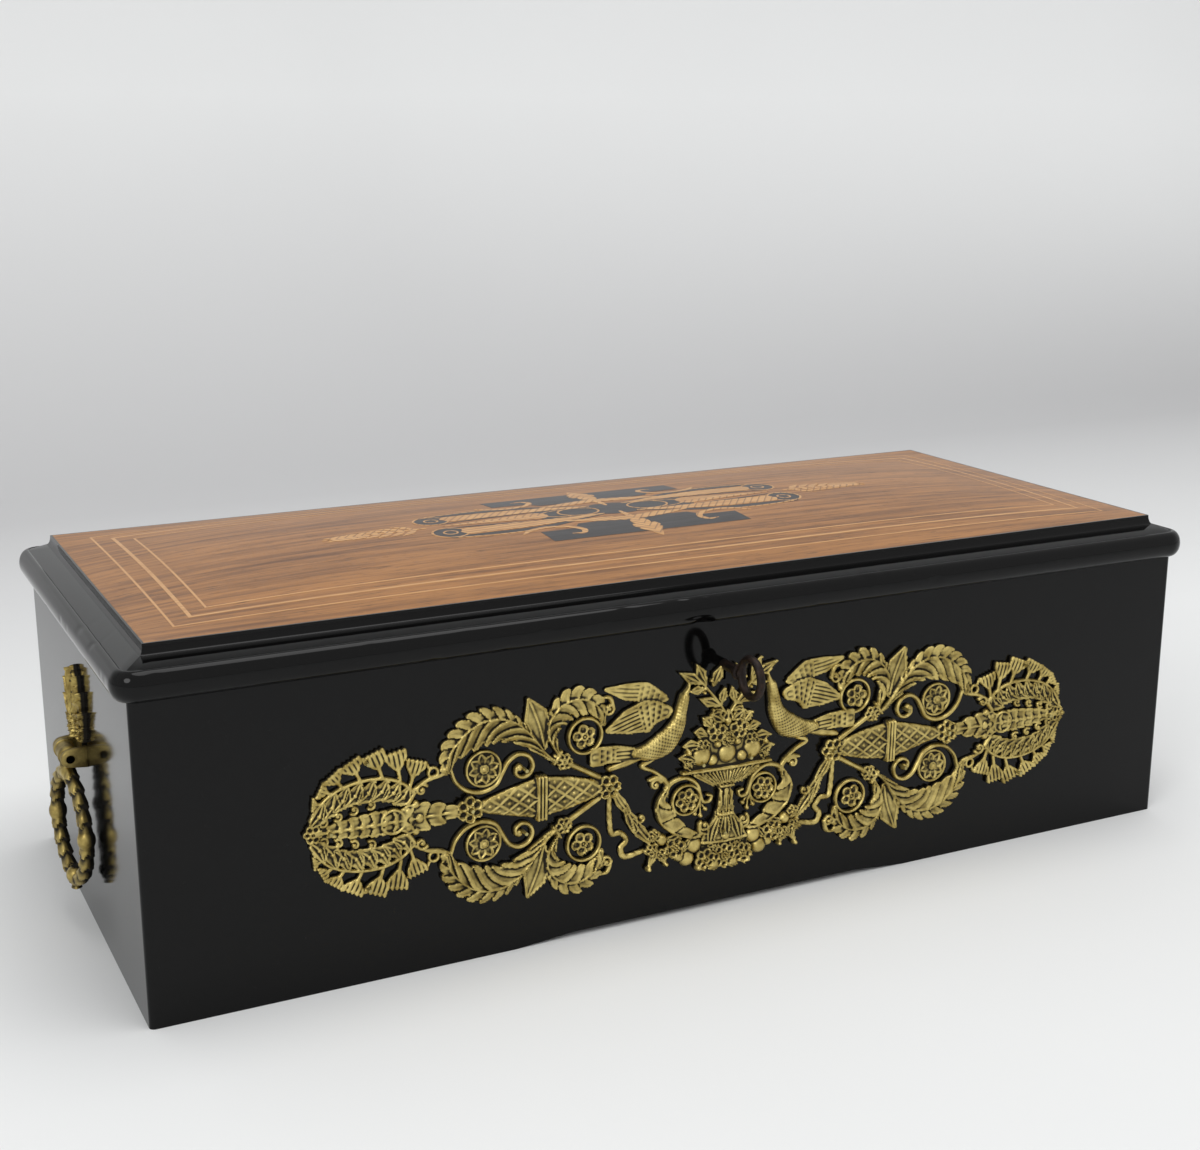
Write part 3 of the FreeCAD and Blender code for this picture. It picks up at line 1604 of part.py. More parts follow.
node(
    fuse(
        "lever_knob",
        rod(
            "knob_barrel",
            (lever_left - dim.knob_length, barrel_y - dim.lever_length, axis_z),
            "X",
            dim.knob_radius,
            dim.knob_length * 0.7,
        ),
        rod(
            "knob_neck",
            (lever_left - dim.knob_length * 0.4, barrel_y - dim.lever_length, axis_z),
            "X",
            dim.knob_radius * 0.6,
            dim.knob_length * 0.4,
        ),
    )
)


# Comb on its base, with tuning leads under the bass teeth.
comb_level = axis_z - dim.comb_thickness / 2
tip_y = cylinder_y - dim.cylinder_radius - dim.pin_height - dim.tip_room
comb_length = dim.tooth_count * dim.tooth_pitch


def root_at(place_along):
    """Depth of the slits at a place along the comb, from 0 in the bass to 1 in the treble."""
    bass = float(dim.bass_root)
    return bass + (float(dim.treble_root) - bass) * place_along


def comb_face():
    count = int(float(dim.tooth_count))
    pitch = float(dim.tooth_pitch)
    slit = float(dim.tooth_gap) / 2
    left = float(dim.comb_left)
    front = float(dim.comb_front)
    tip = float(tip_y)
    points = [(left + slit, front), (left + count * pitch - slit, front)]
    for index in reversed(range(count)):
        start = left + pitch * index + slit
        end = left + pitch * (index + 1) - slit
        root = root_at(index / count)
        points += [(end, root), (end, tip), (start, tip), (start, root)]
    return polygon(points)


comb_blank = feature(
    "comb_blank",
    prism(comb_face(), float(dim.comb_thickness)),
    Placement(Vector(0, 0, float(comb_level)), Rotation()),
)
base_front = dim.comb_front - 4
base_back = dim.bass_root - 2
base_blank = box(
    "comb_base_blank",
    (dim.comb_left - 3, base_front, plate_top),
    (comb_length + 6, base_back - base_front, comb_level - plate_top),
)
comb_screws = []
for index in range(int(float(dim.comb_screw_count))):
    comb_screws.append(
        screw(
            f"comb_screw_{index}",
            dim.comb_left + comb_length * (index + 0.5) / dim.comb_screw_count,
            (dim.comb_front + base_back) / 2,
            comb_level + dim.comb_thickness,
            3.4,
            2.4,
            1.6,
            14,
        )
    )
comb_screw_group = group("comb_screws", *comb_screws)
node(cut("comb", comb_blank, comb_screw_group))
node(cut("comb_base", base_blank, comb_screw_group))
leads = []
for index in range(int(float(dim.lead_count))):
    depth = dim.lead_depth * (1 - index / (float(dim.lead_count) * 1.25))
    leads.append(
        box(
            f"lead_{index}",
            (
                dim.comb_left + dim.tooth_pitch * index + dim.tooth_gap,
                tip_y - 2 - dim.lead_length,
                comb_level - depth,
            ),
            (dim.tooth_pitch - dim.tooth_gap * 2, dim.lead_length, depth),
        )
    )
node(group("tuning_leads", *leads))


# Governor: pinion and worm wheel on one arbor, a worm under a fan, and their frame.
governor_y = cylinder_y + (dim.great_wheel_teeth + dim.governor_pinion_teeth) * dim.governor_module / 2
worm_wheel_radius = dim.worm_wheel_teeth * dim.governor_module / 2
worm_y = governor_y + worm_wheel_radius + dim.worm_pitch_radius
governor_left_x = great_right + 3
governor_right_x = dim.worm_x + (dim.worm_x - governor_left_x) - dim.governor_plate
arbor_bore = dim.governor_arbor_radius + dim.running_fit
pinion_shape, pinion_place = across(
    gear_face(dim.governor_pinion_teeth, dim.governor_module, 0.8, half_pitch_turn=True, addendum=0.8),
    dim.great_wheel_left - 1,
    dim.great_wheel_thickness + 2,
    governor_y,
    axis_z,
)
node(
    fuse(
        "governor_arbor",
        rod(
            "governor_spindle",
            (dim.great_wheel_left - 2, governor_y, axis_z),
            "X",
            dim.governor_arbor_radius,
            governor_right_x + dim.governor_plate - dim.great_wheel_left + 1,
        ),
        feature("governor_pinion", pinion_shape, pinion_place),
    )
)
worm_wheel_shape, worm_wheel_place = across(
    gear_face(
        dim.worm_wheel_teeth, dim.governor_module, dim.governor_arbor_radius, addendum=0.7, play=0.36
    ),
    dim.worm_x - dim.worm_wheel_thickness / 2,
    dim.worm_wheel_thickness,
    governor_y,
    axis_z,
)
node(feature("worm_wheel", worm_wheel_shape, worm_wheel_place))
frame_top = axis_z + 12
frame_floor = plate_top + 4
post_y = worm_y + dim.fan_radius + 2
worm_pivot_radius = 1.2


def governor_frame():
    plates = []
    for word, x in (("left", governor_left_x), ("right", governor_right_x)):
        plates.append(
            box(
                word + "_governor_plate",
                (x, governor_y - 8, frame_floor),
                (dim.governor_plate, 16, frame_top - frame_floor),
            )
        )
    width = governor_right_x + dim.governor_plate - governor_left_x
    base = box(
        "governor_base",
        (governor_left_x, governor_y - 8, plate_top),
        (width, post_y - governor_y + 14, frame_floor - plate_top),
    )
    post = box("governor_post", (dim.worm_x - 5, post_y, frame_floor), (10, 6, dim.cock_level - frame_floor))
    cock = box(
        "governor_cock", (dim.worm_x - 5, worm_y - 6, dim.cock_level), (10, post_y - worm_y + 12, 4)
    )
    arbor_hole = rod(
        "governor_arbor_hole", (governor_left_x - 1, governor_y, axis_z), "X", arbor_bore, width + 2
    )
    worm_hole = rod(
        "worm_pivot_hole",
        (dim.worm_x, worm_y, plate_top + 0.5),
        "Z",
        worm_pivot_radius + dim.running_fit,
        dim.cock_level + 5 - plate_top,
    )
    node(cut("governor_frame", fuse("governor_blank", base, post, cock, *plates), arbor_hole, worm_hole))


def worm_thread():
    """Single right-handed thread, with a space that faces the wheel's nearest tooth."""
    lead = math.pi * float(dim.governor_module)
    turns = float(dim.worm_turns)
    core = float(dim.worm_core_radius)
    crest = float(dim.worm_pitch_radius) + 0.5
    helix = Part.makeHelix(lead, lead * turns, core)
    outline = [(core - 0.3, -0.58), (crest, -0.28), (crest, 0.28), (core - 0.3, 0.58)]
    corners = [Vector(x, 0, z) for x, z in outline]
    section = Part.makePolygon(corners + corners[:1])
    pipe = Part.BRepOffsetAPI.MakePipeShell(Part.Wire(helix.Edges))
    pipe.setFrenetMode(True)
    pipe.add(section)
    pipe.build()
    pipe.makeSolid()
    start = float(axis_z) - lead * (math.floor(turns / 2) + 0.25)
    thread = pipe.shape()
    core_rod = Part.makeCylinder(core, lead * (turns + 1.5), Vector(0, 0, -lead * 0.75))
    worm = core_rod.fuse(thread)
    return worm, Placement(Vector(float(dim.worm_x), float(worm_y), start), Rotation())


governor_frame()
worm_shape, worm_place = worm_thread()
spindle_low = frame_floor + 0.3
spindle_high = dim.cock_level - 0.3
node(
    fuse(
        "worm",
        feature("worm_thread", worm_shape, worm_place),
        rod(
            "worm_spindle",
            (dim.worm_x, worm_y, spindle_low),
            "Z",
            dim.governor_arbor_radius,
            spindle_high - spindle_low,
        ),
        rod(
            "worm_pivots",
            (dim.worm_x, worm_y, plate_top + 1),
            "Z",
            worm_pivot_radius,
            dim.cock_level + 4 - plate_top - 1,
        ),
    )
)
node(
    cut(
        "fan",
        fuse(
            "fan_blank",
            rod("fan_hub", (dim.worm_x, worm_y, dim.fan_level), "Z", 3.2, dim.fan_height),
            box(
                "fan_blades",
                (dim.worm_x - dim.fan_radius, worm_y - 0.4, dim.fan_level),
                (dim.fan_radius * 2, 0.8, dim.fan_height),
            ),
        ),
        rod(
            "fan_bore",
            (dim.worm_x, worm_y, dim.fan_level - 1),
            "Z",
            dim.governor_arbor_radius,
            dim.fan_height + 2,
        ),
    )
)


# Control levers in the right compartment.
right_partition_right = dim.right_partition_x + dim.partition_thickness / 2
bracket_thickness = 4.0
shaft_bore = dim.control_shaft_radius + dim.running_fit
lever_x = right_partition_right + bracket_thickness + 2
control_blank = box(
    "control_blank",
    (right_partition_right, dim.change_lever_y - 20, dim.control_level - 8),
    (bracket_thickness, dim.start_lever_y - dim.change_lever_y + 40, 16),
)


def control_lever(word, y, shaft_start, finger):
    """Upright lever with a ball knob on a shaft, whose far end carries a finger."""
    arm_thickness = 4
    return node(
        fuse(
            word + "_lever",
            rod(
                word + "_shaft",
                (shaft_start, y, dim.control_level),
                "X",
                dim.control_shaft_radius,
                lever_x + arm_thickness - shaft_start,
            ),
            rod(word + "_hub", (lever_x, y, dim.control_level), "X", 5, arm_thickness),
            box(
                word + "_arm",
                (lever_x, y - 2.5, dim.control_level),
                (arm_thickness, 5, dim.control_lever_reach),
            ),
            ball(
                word + "_knob",
                (lever_x + arm_thickness / 2, y, dim.control_level + dim.control_lever_reach),
                dim.control_knob_radius,
            ),
            finger,
        )
    )


stop_x = dim.worm_x + dim.fan_radius + 1.5
control_lever(
    "start",
    dim.start_lever_y,
    stop_x,
    box("stop_finger", (stop_x, dim.start_lever_y, dim.control_level - 2), (3, 26, 4)),
)
control_lever(
    "change",
    dim.change_lever_y,
    great_right + 1,
    box("change_finger", (great_right + 1, dim.change_lever_y - 2, dim.control_level - 18), (3, 4, 18)),
)
shaft_holes = []
for word, y in (("start", dim.start_lever_y), ("change", dim.change_lever_y)):
    shaft_holes.append(
        rod(
            word + "_shaft_hole",
            (dim.right_partition_x - dim.partition_thickness, y, dim.control_level),
            "X",
            shaft_bore,
            dim.partition_thickness * 3,
        )
    )
shaft_hole = group("shaft_holes", *shaft_holes)
node(cut("control_bracket", control_blank, shaft_hole))


# Partitions and the glass over the movement.
def partition(name, middle):
    return box(
        name,
        (middle - dim.partition_thickness / 2, -inner_y, dim.floor_thickness),
        (dim.partition_thickness, inner_y * 2, dim.partition_top - dim.floor_thickness),
    )


winding_hole = rod(
    "winding_hole",
    (dim.left_partition_x - dim.partition_thickness, barrel_y, axis_z),
    "X",
    barrel_bore,
    dim.partition_thickness * 2,
)
node(
    group(
        "partitions",
        cut("left_partition", partition("left_partition_blank", dim.left_partition_x), winding_hole, click_stud),
        cut("right_partition", partition("right_partition_blank", dim.right_partition_x), shaft_hole),
    )
)


def glass_slab(name, inset, floor, height):
    """A level slab over the movement, a given inset inside the glass frame's outer edge."""
    left = left_partition_left + inset
    front = -inner_y + dim.glass_room + inset
    return box(
        name,
        (left, front, floor),
        (right_partition_right - inset - left, -front * 2, height),
    )


pane_floor = dim.partition_top + (dim.glass_frame_height - dim.glass_thickness) / 2
pane = node(glass_slab("glass_pane", dim.glass_frame_width * 0.6, pane_floor, dim.glass_thickness))
node(
    cut(
        "glass_frame",
        glass_slab("glass_frame_blank", 0, dim.partition_top, dim.glass_frame_height),
        glass_slab("glass_light", dim.glass_frame_width, dim.partition_top - 1, dim.glass_frame_height + 2),
        pane,
    )
)
node(group("screws", *screws))
movement_screws = [item for item in screws if item not in plate_bolts and item not in case_screws]
node(cut("bedplate", bed_blank, plate_bolt_group, group("bedplate_screws", *movement_screws)))

# Check and export.
doc.recompute()
for item in doc.Objects:
    if "Invalid" in item.State or "Error" in item.State:
        raise RuntimeError(f"{item.Label} did not recompute")
os.makedirs("parts", exist_ok=True)
for item in NODES:
    if item.Shape.isNull() or not item.Shape.isValid():
        raise RuntimeError(f"{item.Label} has no sound shape")
    item.Shape.exportStep(f"parts/{item.Label}.step")
    print(item.Label, len(item.Shape.Solids), round(item.Shape.Volume, 1))
print(len(NODES), "sub-parts")
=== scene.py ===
# %% [markdown]
# # Dressing a cylinder music box
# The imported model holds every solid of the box: boards, lid, lock, handles and the whole musical movement.
# This lesson gives those solids their finishes, and makes anew the pieces whose beauty lies in fine relief:
# the gilt mount, the moulded lid, the marquetry and the cast handles. Lengths below are written in
# millimetres, as a case maker would measure them, and become metres when a mesh is made.

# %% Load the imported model
import math
import random

import bmesh
import bpy
import numpy as np
from mathutils import Matrix, Vector


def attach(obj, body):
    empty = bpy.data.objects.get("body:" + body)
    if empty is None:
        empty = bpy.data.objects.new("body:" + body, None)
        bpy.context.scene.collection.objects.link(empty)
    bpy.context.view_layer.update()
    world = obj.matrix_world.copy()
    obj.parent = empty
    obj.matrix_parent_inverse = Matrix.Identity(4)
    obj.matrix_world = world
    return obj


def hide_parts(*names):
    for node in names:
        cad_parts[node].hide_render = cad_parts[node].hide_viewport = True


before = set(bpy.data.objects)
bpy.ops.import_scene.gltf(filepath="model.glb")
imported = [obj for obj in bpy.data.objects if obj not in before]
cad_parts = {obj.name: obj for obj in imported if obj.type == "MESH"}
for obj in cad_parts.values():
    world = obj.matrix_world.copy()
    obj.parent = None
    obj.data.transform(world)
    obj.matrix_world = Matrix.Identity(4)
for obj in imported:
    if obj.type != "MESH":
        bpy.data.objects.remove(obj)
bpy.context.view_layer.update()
MM = 0.001

# %% [markdown]
# ## The viewpoint
# The photograph looks down a little at the front left corner. A camera is placed by the turn and the rise
# of its line of sight, because those can be measured from the converging edges of the case. Writing the
# camera's matrix from three directions keeps the horizon level without any constraint.

# %% Camera
AZIMUTH = -26.432
ELEVATION = 14.59
DISTANCE = 916.8
LENS = 52.79
SENSOR_WIDTH = 36
LOOK_AT = Vector((-7.51, 0, 139.48))


def aim_camera():
    turn = math.radians(AZIMUTH)
    rise = math.radians(ELEVATION)
    back = Vector((math.sin(turn) * math.cos(rise), -math.cos(turn) * math.cos(rise), math.sin(rise)))
    right = Vector((math.cos(turn), math.sin(turn), 0))
    up = back.cross(right)
    eye = (LOOK_AT + back * DISTANCE) * MM
    data = bpy.data.cameras.new("viewpoint")
    data.lens = LENS
    data.sensor_width = SENSOR_WIDTH
    data.sensor_fit = "HORIZONTAL"
    data.clip_start = 0.02
    camera = bpy.data.objects.new("viewpoint", data)
    bpy.context.scene.collection.objects.link(camera)
    camera.matrix_world = Matrix((
        (right.x, up.x, back.x, eye.x),
        (right.y, up.y, back.y, eye.y),
        (right.z, up.z, back.z, eye.z),
        (0, 0, 0, 1),
    ))
    bpy.context.scene.camera = camera
    return camera


print("camera stands at", [round(value, 3) for value in aim_camera().location])

# %% [markdown]
# ## Writing finishes as sums
# A finish is a small network of nodes. Wiring each node by hand hides the idea, so a socket is wrapped in a
# class that understands plus, minus and times, and every other node comes from one method. A line such as
# `1 - pores * 0.4` then builds its own Math nodes.


# %% Shader sums
def sum_method(operation, swapped=False):
    """A method that joins a value and another one by a Math node."""
    def method(self, other):
        first, second = (other, self) if swapped else (self, other)
        return self.finish.node("ShaderNodeMath", {"operation": operation}, {0: first, 1: second})

    return method


class Value:
    """A socket of a finish, which can be used in sums."""

    def __init__(self, finish, socket):
        self.finish = finish
        self.socket = socket

    __add__ = sum_method("ADD")
    __radd__ = sum_method("ADD", swapped=True)
    __sub__ = sum_method("SUBTRACT")
    __rsub__ = sum_method("SUBTRACT", swapped=True)
    __mul__ = sum_method("MULTIPLY")
    __rmul__ = sum_method("MULTIPLY", swapped=True)


class Finish:
    """One material: its nodes, its surface and the methods that add to them."""

    def __init__(self, name):
        self.material = bpy.data.materials.new(name)
        self.material.use_nodes = True
        self.tree = self.material.node_tree
        self.surface = self.tree.nodes["Principled BSDF"]
        coordinates = self.tree.nodes.new("ShaderNodeTexCoord")
        self.place = Value(self, coordinates.outputs["Object"])

    def node(self, kind, settings=None, inputs=None, output=0):
        """Adds a node: settings first, then the values or links of its sockets."""
        made = self.tree.nodes.new(kind)
        for name, setting in (settings or {}).items():
            setattr(made, name, setting)
        self.fill(made, inputs or {})
        return Value(self, made.outputs[output])

    def fill(self, made, inputs):
        sockets = {socket.identifier: socket for socket in made.inputs}
        for name, given in inputs.items():
            socket = sockets.get(name) or made.inputs[name]
            if isinstance(given, Value):
                self.tree.links.new(given.socket, socket)
            else:
                socket.default_value = given

    def set(self, **inputs):
        """Sets the surface's own sockets; an underscore stands for a space."""
        self.fill(self.surface, {name.replace("_", " "): given for name, given in inputs.items()})
        return self

    def stretch(self, scale, turn=(0, 0, 0)):
        return self.node(
            "ShaderNodeMapping", {}, {"Vector": self.place, "Scale": scale, "Rotation": turn}
        )

    def axis(self, name):
        """One coordinate, X, Y or Z, of the place on the object."""
        return self.node("ShaderNodeSeparateXYZ", {}, {"Vector": self.place}, output=name)

    def noise(self, where, scale, detail=4.0, rough=0.55):
        return self.node(
            "ShaderNodeTexNoise", {}, {"Vector": where, "Scale": scale, "Detail": detail, "Roughness": rough}
        )

    def ramp(self, value, low, high):
        """Runs from 0 to 1 while the value goes from low to high."""
        return self.node(
            "ShaderNodeMapRange", {"clamp": True}, {"Value": value, "From Min": low, "From Max": high}
        )

    def mix(self, first, second, share):
        return self.node(
            "ShaderNodeMix",
            {"data_type": "RGBA"},
            {"Factor_Float": share, "A_Color": first, "B_Color": second},
            output=2,
        )

    def bump(self, height, depth, strength):
        return self.node(
            "ShaderNodeBump", {}, {"Height": height, "Distance": depth, "Strength": strength}
        )

    def attribute(self, name):
        return self.node("ShaderNodeAttribute", {"attribute_name": name}, {}, output=2)


print("shader sums ready")

# %% [markdown]
# ## Colours and dressing
# Colours are written as they read on a screen. A shader works with amounts of light instead, so each channel
# is unbent first. Pieces that keep their CAD shape only get a new material.


# %% Colours
def colour(red, green, blue):
    """A colour as it reads on a screen, from 0 to 255, turned to the light that a shader uses."""
    def channel(value):
        value = value / 255
        return value / 12.92 if value <= 0.04045 else ((value + 0.055) / 1.055) ** 2.4

    return (channel(red), channel(green), channel(blue), 1.0)


def dress(finish, *nodes):
    """Gives a finish to CAD nodes that keep their own shape."""
    for name in nodes:
        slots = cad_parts[name].data.materials
        slots.clear()
        slots.append(finish.material)


print("colours and dressing ready")

# %% [markdown]
# ## Stage and light
# A pale sweep of paper lies under the box and rises behind it. The sweep is one profile run sideways, with a
# round bend so that no line shows where floor turns into wall. Its colour holds painted shade, a little
# darker low down behind the box, and painted light, paler high on the right, as in the photograph.

# %% Floor and backdrop
HALF_WIDTH = 9.0
WALL_START = 1.0
WALL_TOP = 3.0
BEND = 0.7
BEND_STEPS = 16


def pale_paper():
    paper = Finish("paper")
    mottle = paper.noise(paper.place, 2.0)
    sheet = paper.mix(colour(228, 229, 229), colour(235, 236, 236), mottle)
    right, behind, above = (
        paper.ramp(paper.axis(axis), low, high)
        for axis, low, high in (("X", 0.4, 1.8), ("Y", 0.2, 0.9), ("Z", 0.0, 0.4))
    )
    # Painted shade darkens the paper low down behind the box, and painted light makes it paler high on the
    # right.
    sheet_with_painted_shade = paper.mix(sheet, colour(196, 196, 197), behind * (1 - above))
    return paper.set(
        Base_Color=paper.mix(sheet_with_painted_shade, colour(249, 250, 250), right * above),
        Roughness=0.9,
        Specular_IOR_Level=0.1,
    )


def sweep_of_paper():
    """The sheet, from far in front of the box through the bend to the top of the wall; in metres."""
    profile = [(-HALF_WIDTH, 0.0), (WALL_START, 0.0)]
    for step in range(1, BEND_STEPS + 1):
        angle = math.pi / 2 * step / BEND_STEPS
        profile.append((WALL_START + BEND * math.sin(angle), BEND - BEND * math.cos(angle)))
    profile.append((WALL_START + BEND, WALL_TOP))
    points = [(side * HALF_WIDTH, y, z) for y, z in profile for side in (-1, 1)]
    faces = [(2 * i, 2 * i + 1, 2 * i + 3, 2 * i + 2) for i in range(len(profile) - 1)]
    mesh = bpy.data.meshes.new("paper_sweep")
    mesh.from_pydata(points, [], faces)
    mesh.shade_smooth()
    mesh.materials.append(pale_paper().material)
    sweep = bpy.data.objects.new("paper_sweep", mesh)
    bpy.context.scene.collection.objects.link(sweep)
    return sweep


print("paper sweep has", len(sweep_of_paper().data.polygons), "faces")

# %% [markdown]
# ## Lamps
# Soft light from large lamps overhead and at the left leaves hardly any shadow, and a white room fills in the
# rest. The polished sides of the box mirror the paper and that white room.


# %% Lamps
def soft_lamp(name, place, aim, size, power):
    """A round lamp of a given width in metres and power in watts, turned towards a point."""
    data = bpy.data.lights.new(name, "AREA")
    data.shape = "DISK"
    data.size = size
    data.energy = power
    lamp = bpy.data.objects.new(name, data)
    bpy.context.scene.collection.objects.link(lamp)
    lamp.location = place
    lamp.rotation_euler = (Vector(aim) - Vector(place)).to_track_quat("-Z", "Y").to_euler()
    return lamp


def light_the_room():
    world = bpy.data.worlds.new("room")
    bpy.context.scene.world = world
    world.use_nodes = True
    background = world.node_tree.nodes["Background"]
    background.inputs["Color"].default_value = (1.0, 1.0, 1.0, 1)
    background.inputs["Strength"].default_value = 0.70
    soft_lamp("overhead", (0.2, -0.2, 2.2), (0, 0.2, 0), 1.6, 18)
    soft_lamp("from_left", (-1.7, -1.3, 1.3), (0, 0, 0.1), 1.0, 12)
    bpy.context.scene.view_settings.view_transform = "Standard"


light_the_room()
print("lamps are set")

# %% [markdown]
# ## Ebonised boards
# The case is wood stained black and polished until it mirrors the paper. Black polish is nearly all
# reflection, so the colour stays almost at nothing, and the gloss is broken up a little by faint
# hand-rubbed streaks and by dust, or it would look like plastic.


# %% Black polish
def black_polish():
    polish = Finish("black_polish")
    cloud = polish.noise(polish.stretch((3, 3, 9)), 3.0)
    dust = polish.ramp(polish.noise(polish.place, 900, detail=2), 0.66, 0.78)
    rubs = polish.noise(polish.stretch((2, 60, 60)), 6.0)
    return polish.set(
        Base_Color=polish.mix(colour(6, 6, 6), colour(30, 28, 27), dust * 0.5),
        Roughness=0.06 + 0.05 * cloud + 0.1 * dust,
        IOR=1.29,
        Normal=polish.bump(rubs, 0.00004, 0.12),
    )


BLACK_POLISH = black_polish()
dress(BLACK_POLISH, "front_board", "back_board", "end_boards", "partitions", "glass_frame", "lever_knob")
print("boards are ebonised")

# %% [markdown]
# ## Lines for ornament
# Stems and leaves follow smooth lines through a few points. Two questions are asked of such a line for every
# point of a grid: how far along it is the nearest place, and how far away does the line pass. Widths are
# lists that are read off at that place.


# %% Lines and widths
def smooth_line(points, per_span=7):
    """Points along a smooth line through the given ones."""
    points = np.array(points, float)
    ends = np.vstack([2 * points[0] - points[1], points, 2 * points[-1] - points[-2]])
    line = []
    for index in range(1, len(ends) - 2):
        a, b, c, d = ends[index - 1:index + 3]
        for step in range(per_span):
            t = step / per_span
            line.append(0.5 * (2 * b + (c - a) * t + (2 * a - 5 * b + 4 * c - d) * t ** 2
                               + (3 * b - a - 3 * c + d) * t ** 3))
    line.append(points[-1])
    return np.array(line)


def along_line(line, u, v):
    """For each grid point: its place along a line from 0 to 1, and its distance, positive on the left."""
    spans = line[1:] - line[:-1]
    lengths = np.hypot(spans[:, 0], spans[:, 1])
    starts = np.concatenate([[0], np.cumsum(lengths)])
    nearest = np.full(u.shape, 1e9)
    place = np.zeros(u.shape)
    side = np.ones(u.shape)
    for index, (span, length) in enumerate(zip(spans, lengths)):
        if length < 1e-9:
            continue
        ru = u - line[index, 0]
        rv = v - line[index, 1]
        t = np.clip((ru * span[0] + rv * span[1]) / length ** 2, 0, 1)
        gap = (ru - t * span[0]) ** 2 + (rv - t * span[1]) ** 2
        better = gap < nearest
        nearest[better] = gap[better]
        place[better] = ((starts[index] + t * length) / starts[-1])[better]
        side[better] = np.sign(span[0] * rv - span[1] * ru)[better]
    return place, np.sqrt(nearest) * np.where(side == 0, 1, side)


def spread(values, place):
    """Reads a list of widths at a place along a line."""
    if np.isscalar(values):
        return np.full(np.shape(place), float(values))
    return np.interp(place, np.linspace(0, 1, len(values)), values)


def both(width):
    """The same widths for the left and the right side of a leaf."""
    return width, width


print("line tools ready")

# %% [markdown]
# ## A sheet of heights for cast ornament
# Cast gilt bronze is low relief: seen from the front, each point has one height. So the castings are
# modelled as a founder models wax on a board. Leaves, flowers and stems are laid on a fine grid of heights,
# and the higher one wins where two meet. A second grid tells how far inside the outline each point lies.


# %% Sheet of heights
class Sheet:
    """A grid of heights in millimetres, on which motifs are laid one after another."""

    MARGIN = 1.6
    EDGE = 1.0
    OUTSIDE = -9.0
    BLUR = 1.1
    FULL_HOLLOW = 0.55

    def __init__(self, left, right, low, high, step):
        self.step = step
        self.u, self.v = np.meshgrid(
            np.arange(left, right + step / 2, step), np.arange(low, high + step / 2, step)
        )
        self.inside = np.full(self.u.shape, self.OUTSIDE)
        self.height = np.zeros(self.u.shape)

    def lay(self, low, high, motif):
        """Lays a motif, which gives the distance inside its outline and the height, within a window."""
        columns = slice(
            max(0, int((low[0] - self.MARGIN - self.u[0, 0]) / self.step)),
            max(0, int((high[0] + self.MARGIN - self.u[0, 0]) / self.step) + 2),
        )
        rows = slice(
            max(0, int((low[1] - self.MARGIN - self.v[0, 0]) / self.step)),
            max(0, int((high[1] + self.MARGIN - self.v[0, 0]) / self.step) + 2),
        )
        u = self.u[rows, columns]
        v = self.v[rows, columns]
        if u.size == 0:
            return
        inside, height = motif(u, v)
        self.inside[rows, columns] = np.maximum(self.inside[rows, columns], inside)
        shown = np.where(inside > 0, np.maximum(height, self.EDGE * 0.6), 0)
        self.height[rows, columns] = np.maximum(self.height[rows, columns], shown)

    def around(self, centre, radius, motif):
        centre = np.array(centre, float)
        self.lay(centre - radius, centre + radius, motif)

    def along(self, points, reach, motif):
        """Lays a motif that is given by the place along a smooth line and the distance from it."""
        line = smooth_line(points)
        self.lay(line.min(0) - reach, line.max(0) + reach, lambda u, v: motif(*along_line(line, u, v)))

    def mirror_up(self):
        """Repeats each side of the level middle line on the other."""
        self.inside = np.maximum(self.inside, self.inside[::-1])
        self.height = np.maximum(self.height, self.height[::-1])

    def mirror_across(self):
        """Repeats each side of the upright middle line on the other."""
        self.inside = np.maximum(self.inside, self.inside[:, ::-1])
        self.height = np.maximum(self.height, self.height[:, ::-1])

    def hollows(self):
        """How far each point lies below the mean of its neighbours, from -1 to 1."""
        blurred = self.height.copy()
        reach = max(1, int(round(self.BLUR / self.step)))
        for axis in (0, 1):
            total = sum(np.roll(blurred, shift, axis) for shift in range(-reach, reach + 1))
            blurred = total / (2 * reach + 1)
        return np.clip((blurred - self.height) / self.FULL_HOLLOW, -1, 1)


print("sheet of heights ready")

# %% [markdown]
# ## Round motifs
# Each motif is a small function of the grid. It answers with the distance inside its own outline and with
# its height, and the sheet does the rest. Beads, rings and flowers need only the distance and the direction
# from a centre.


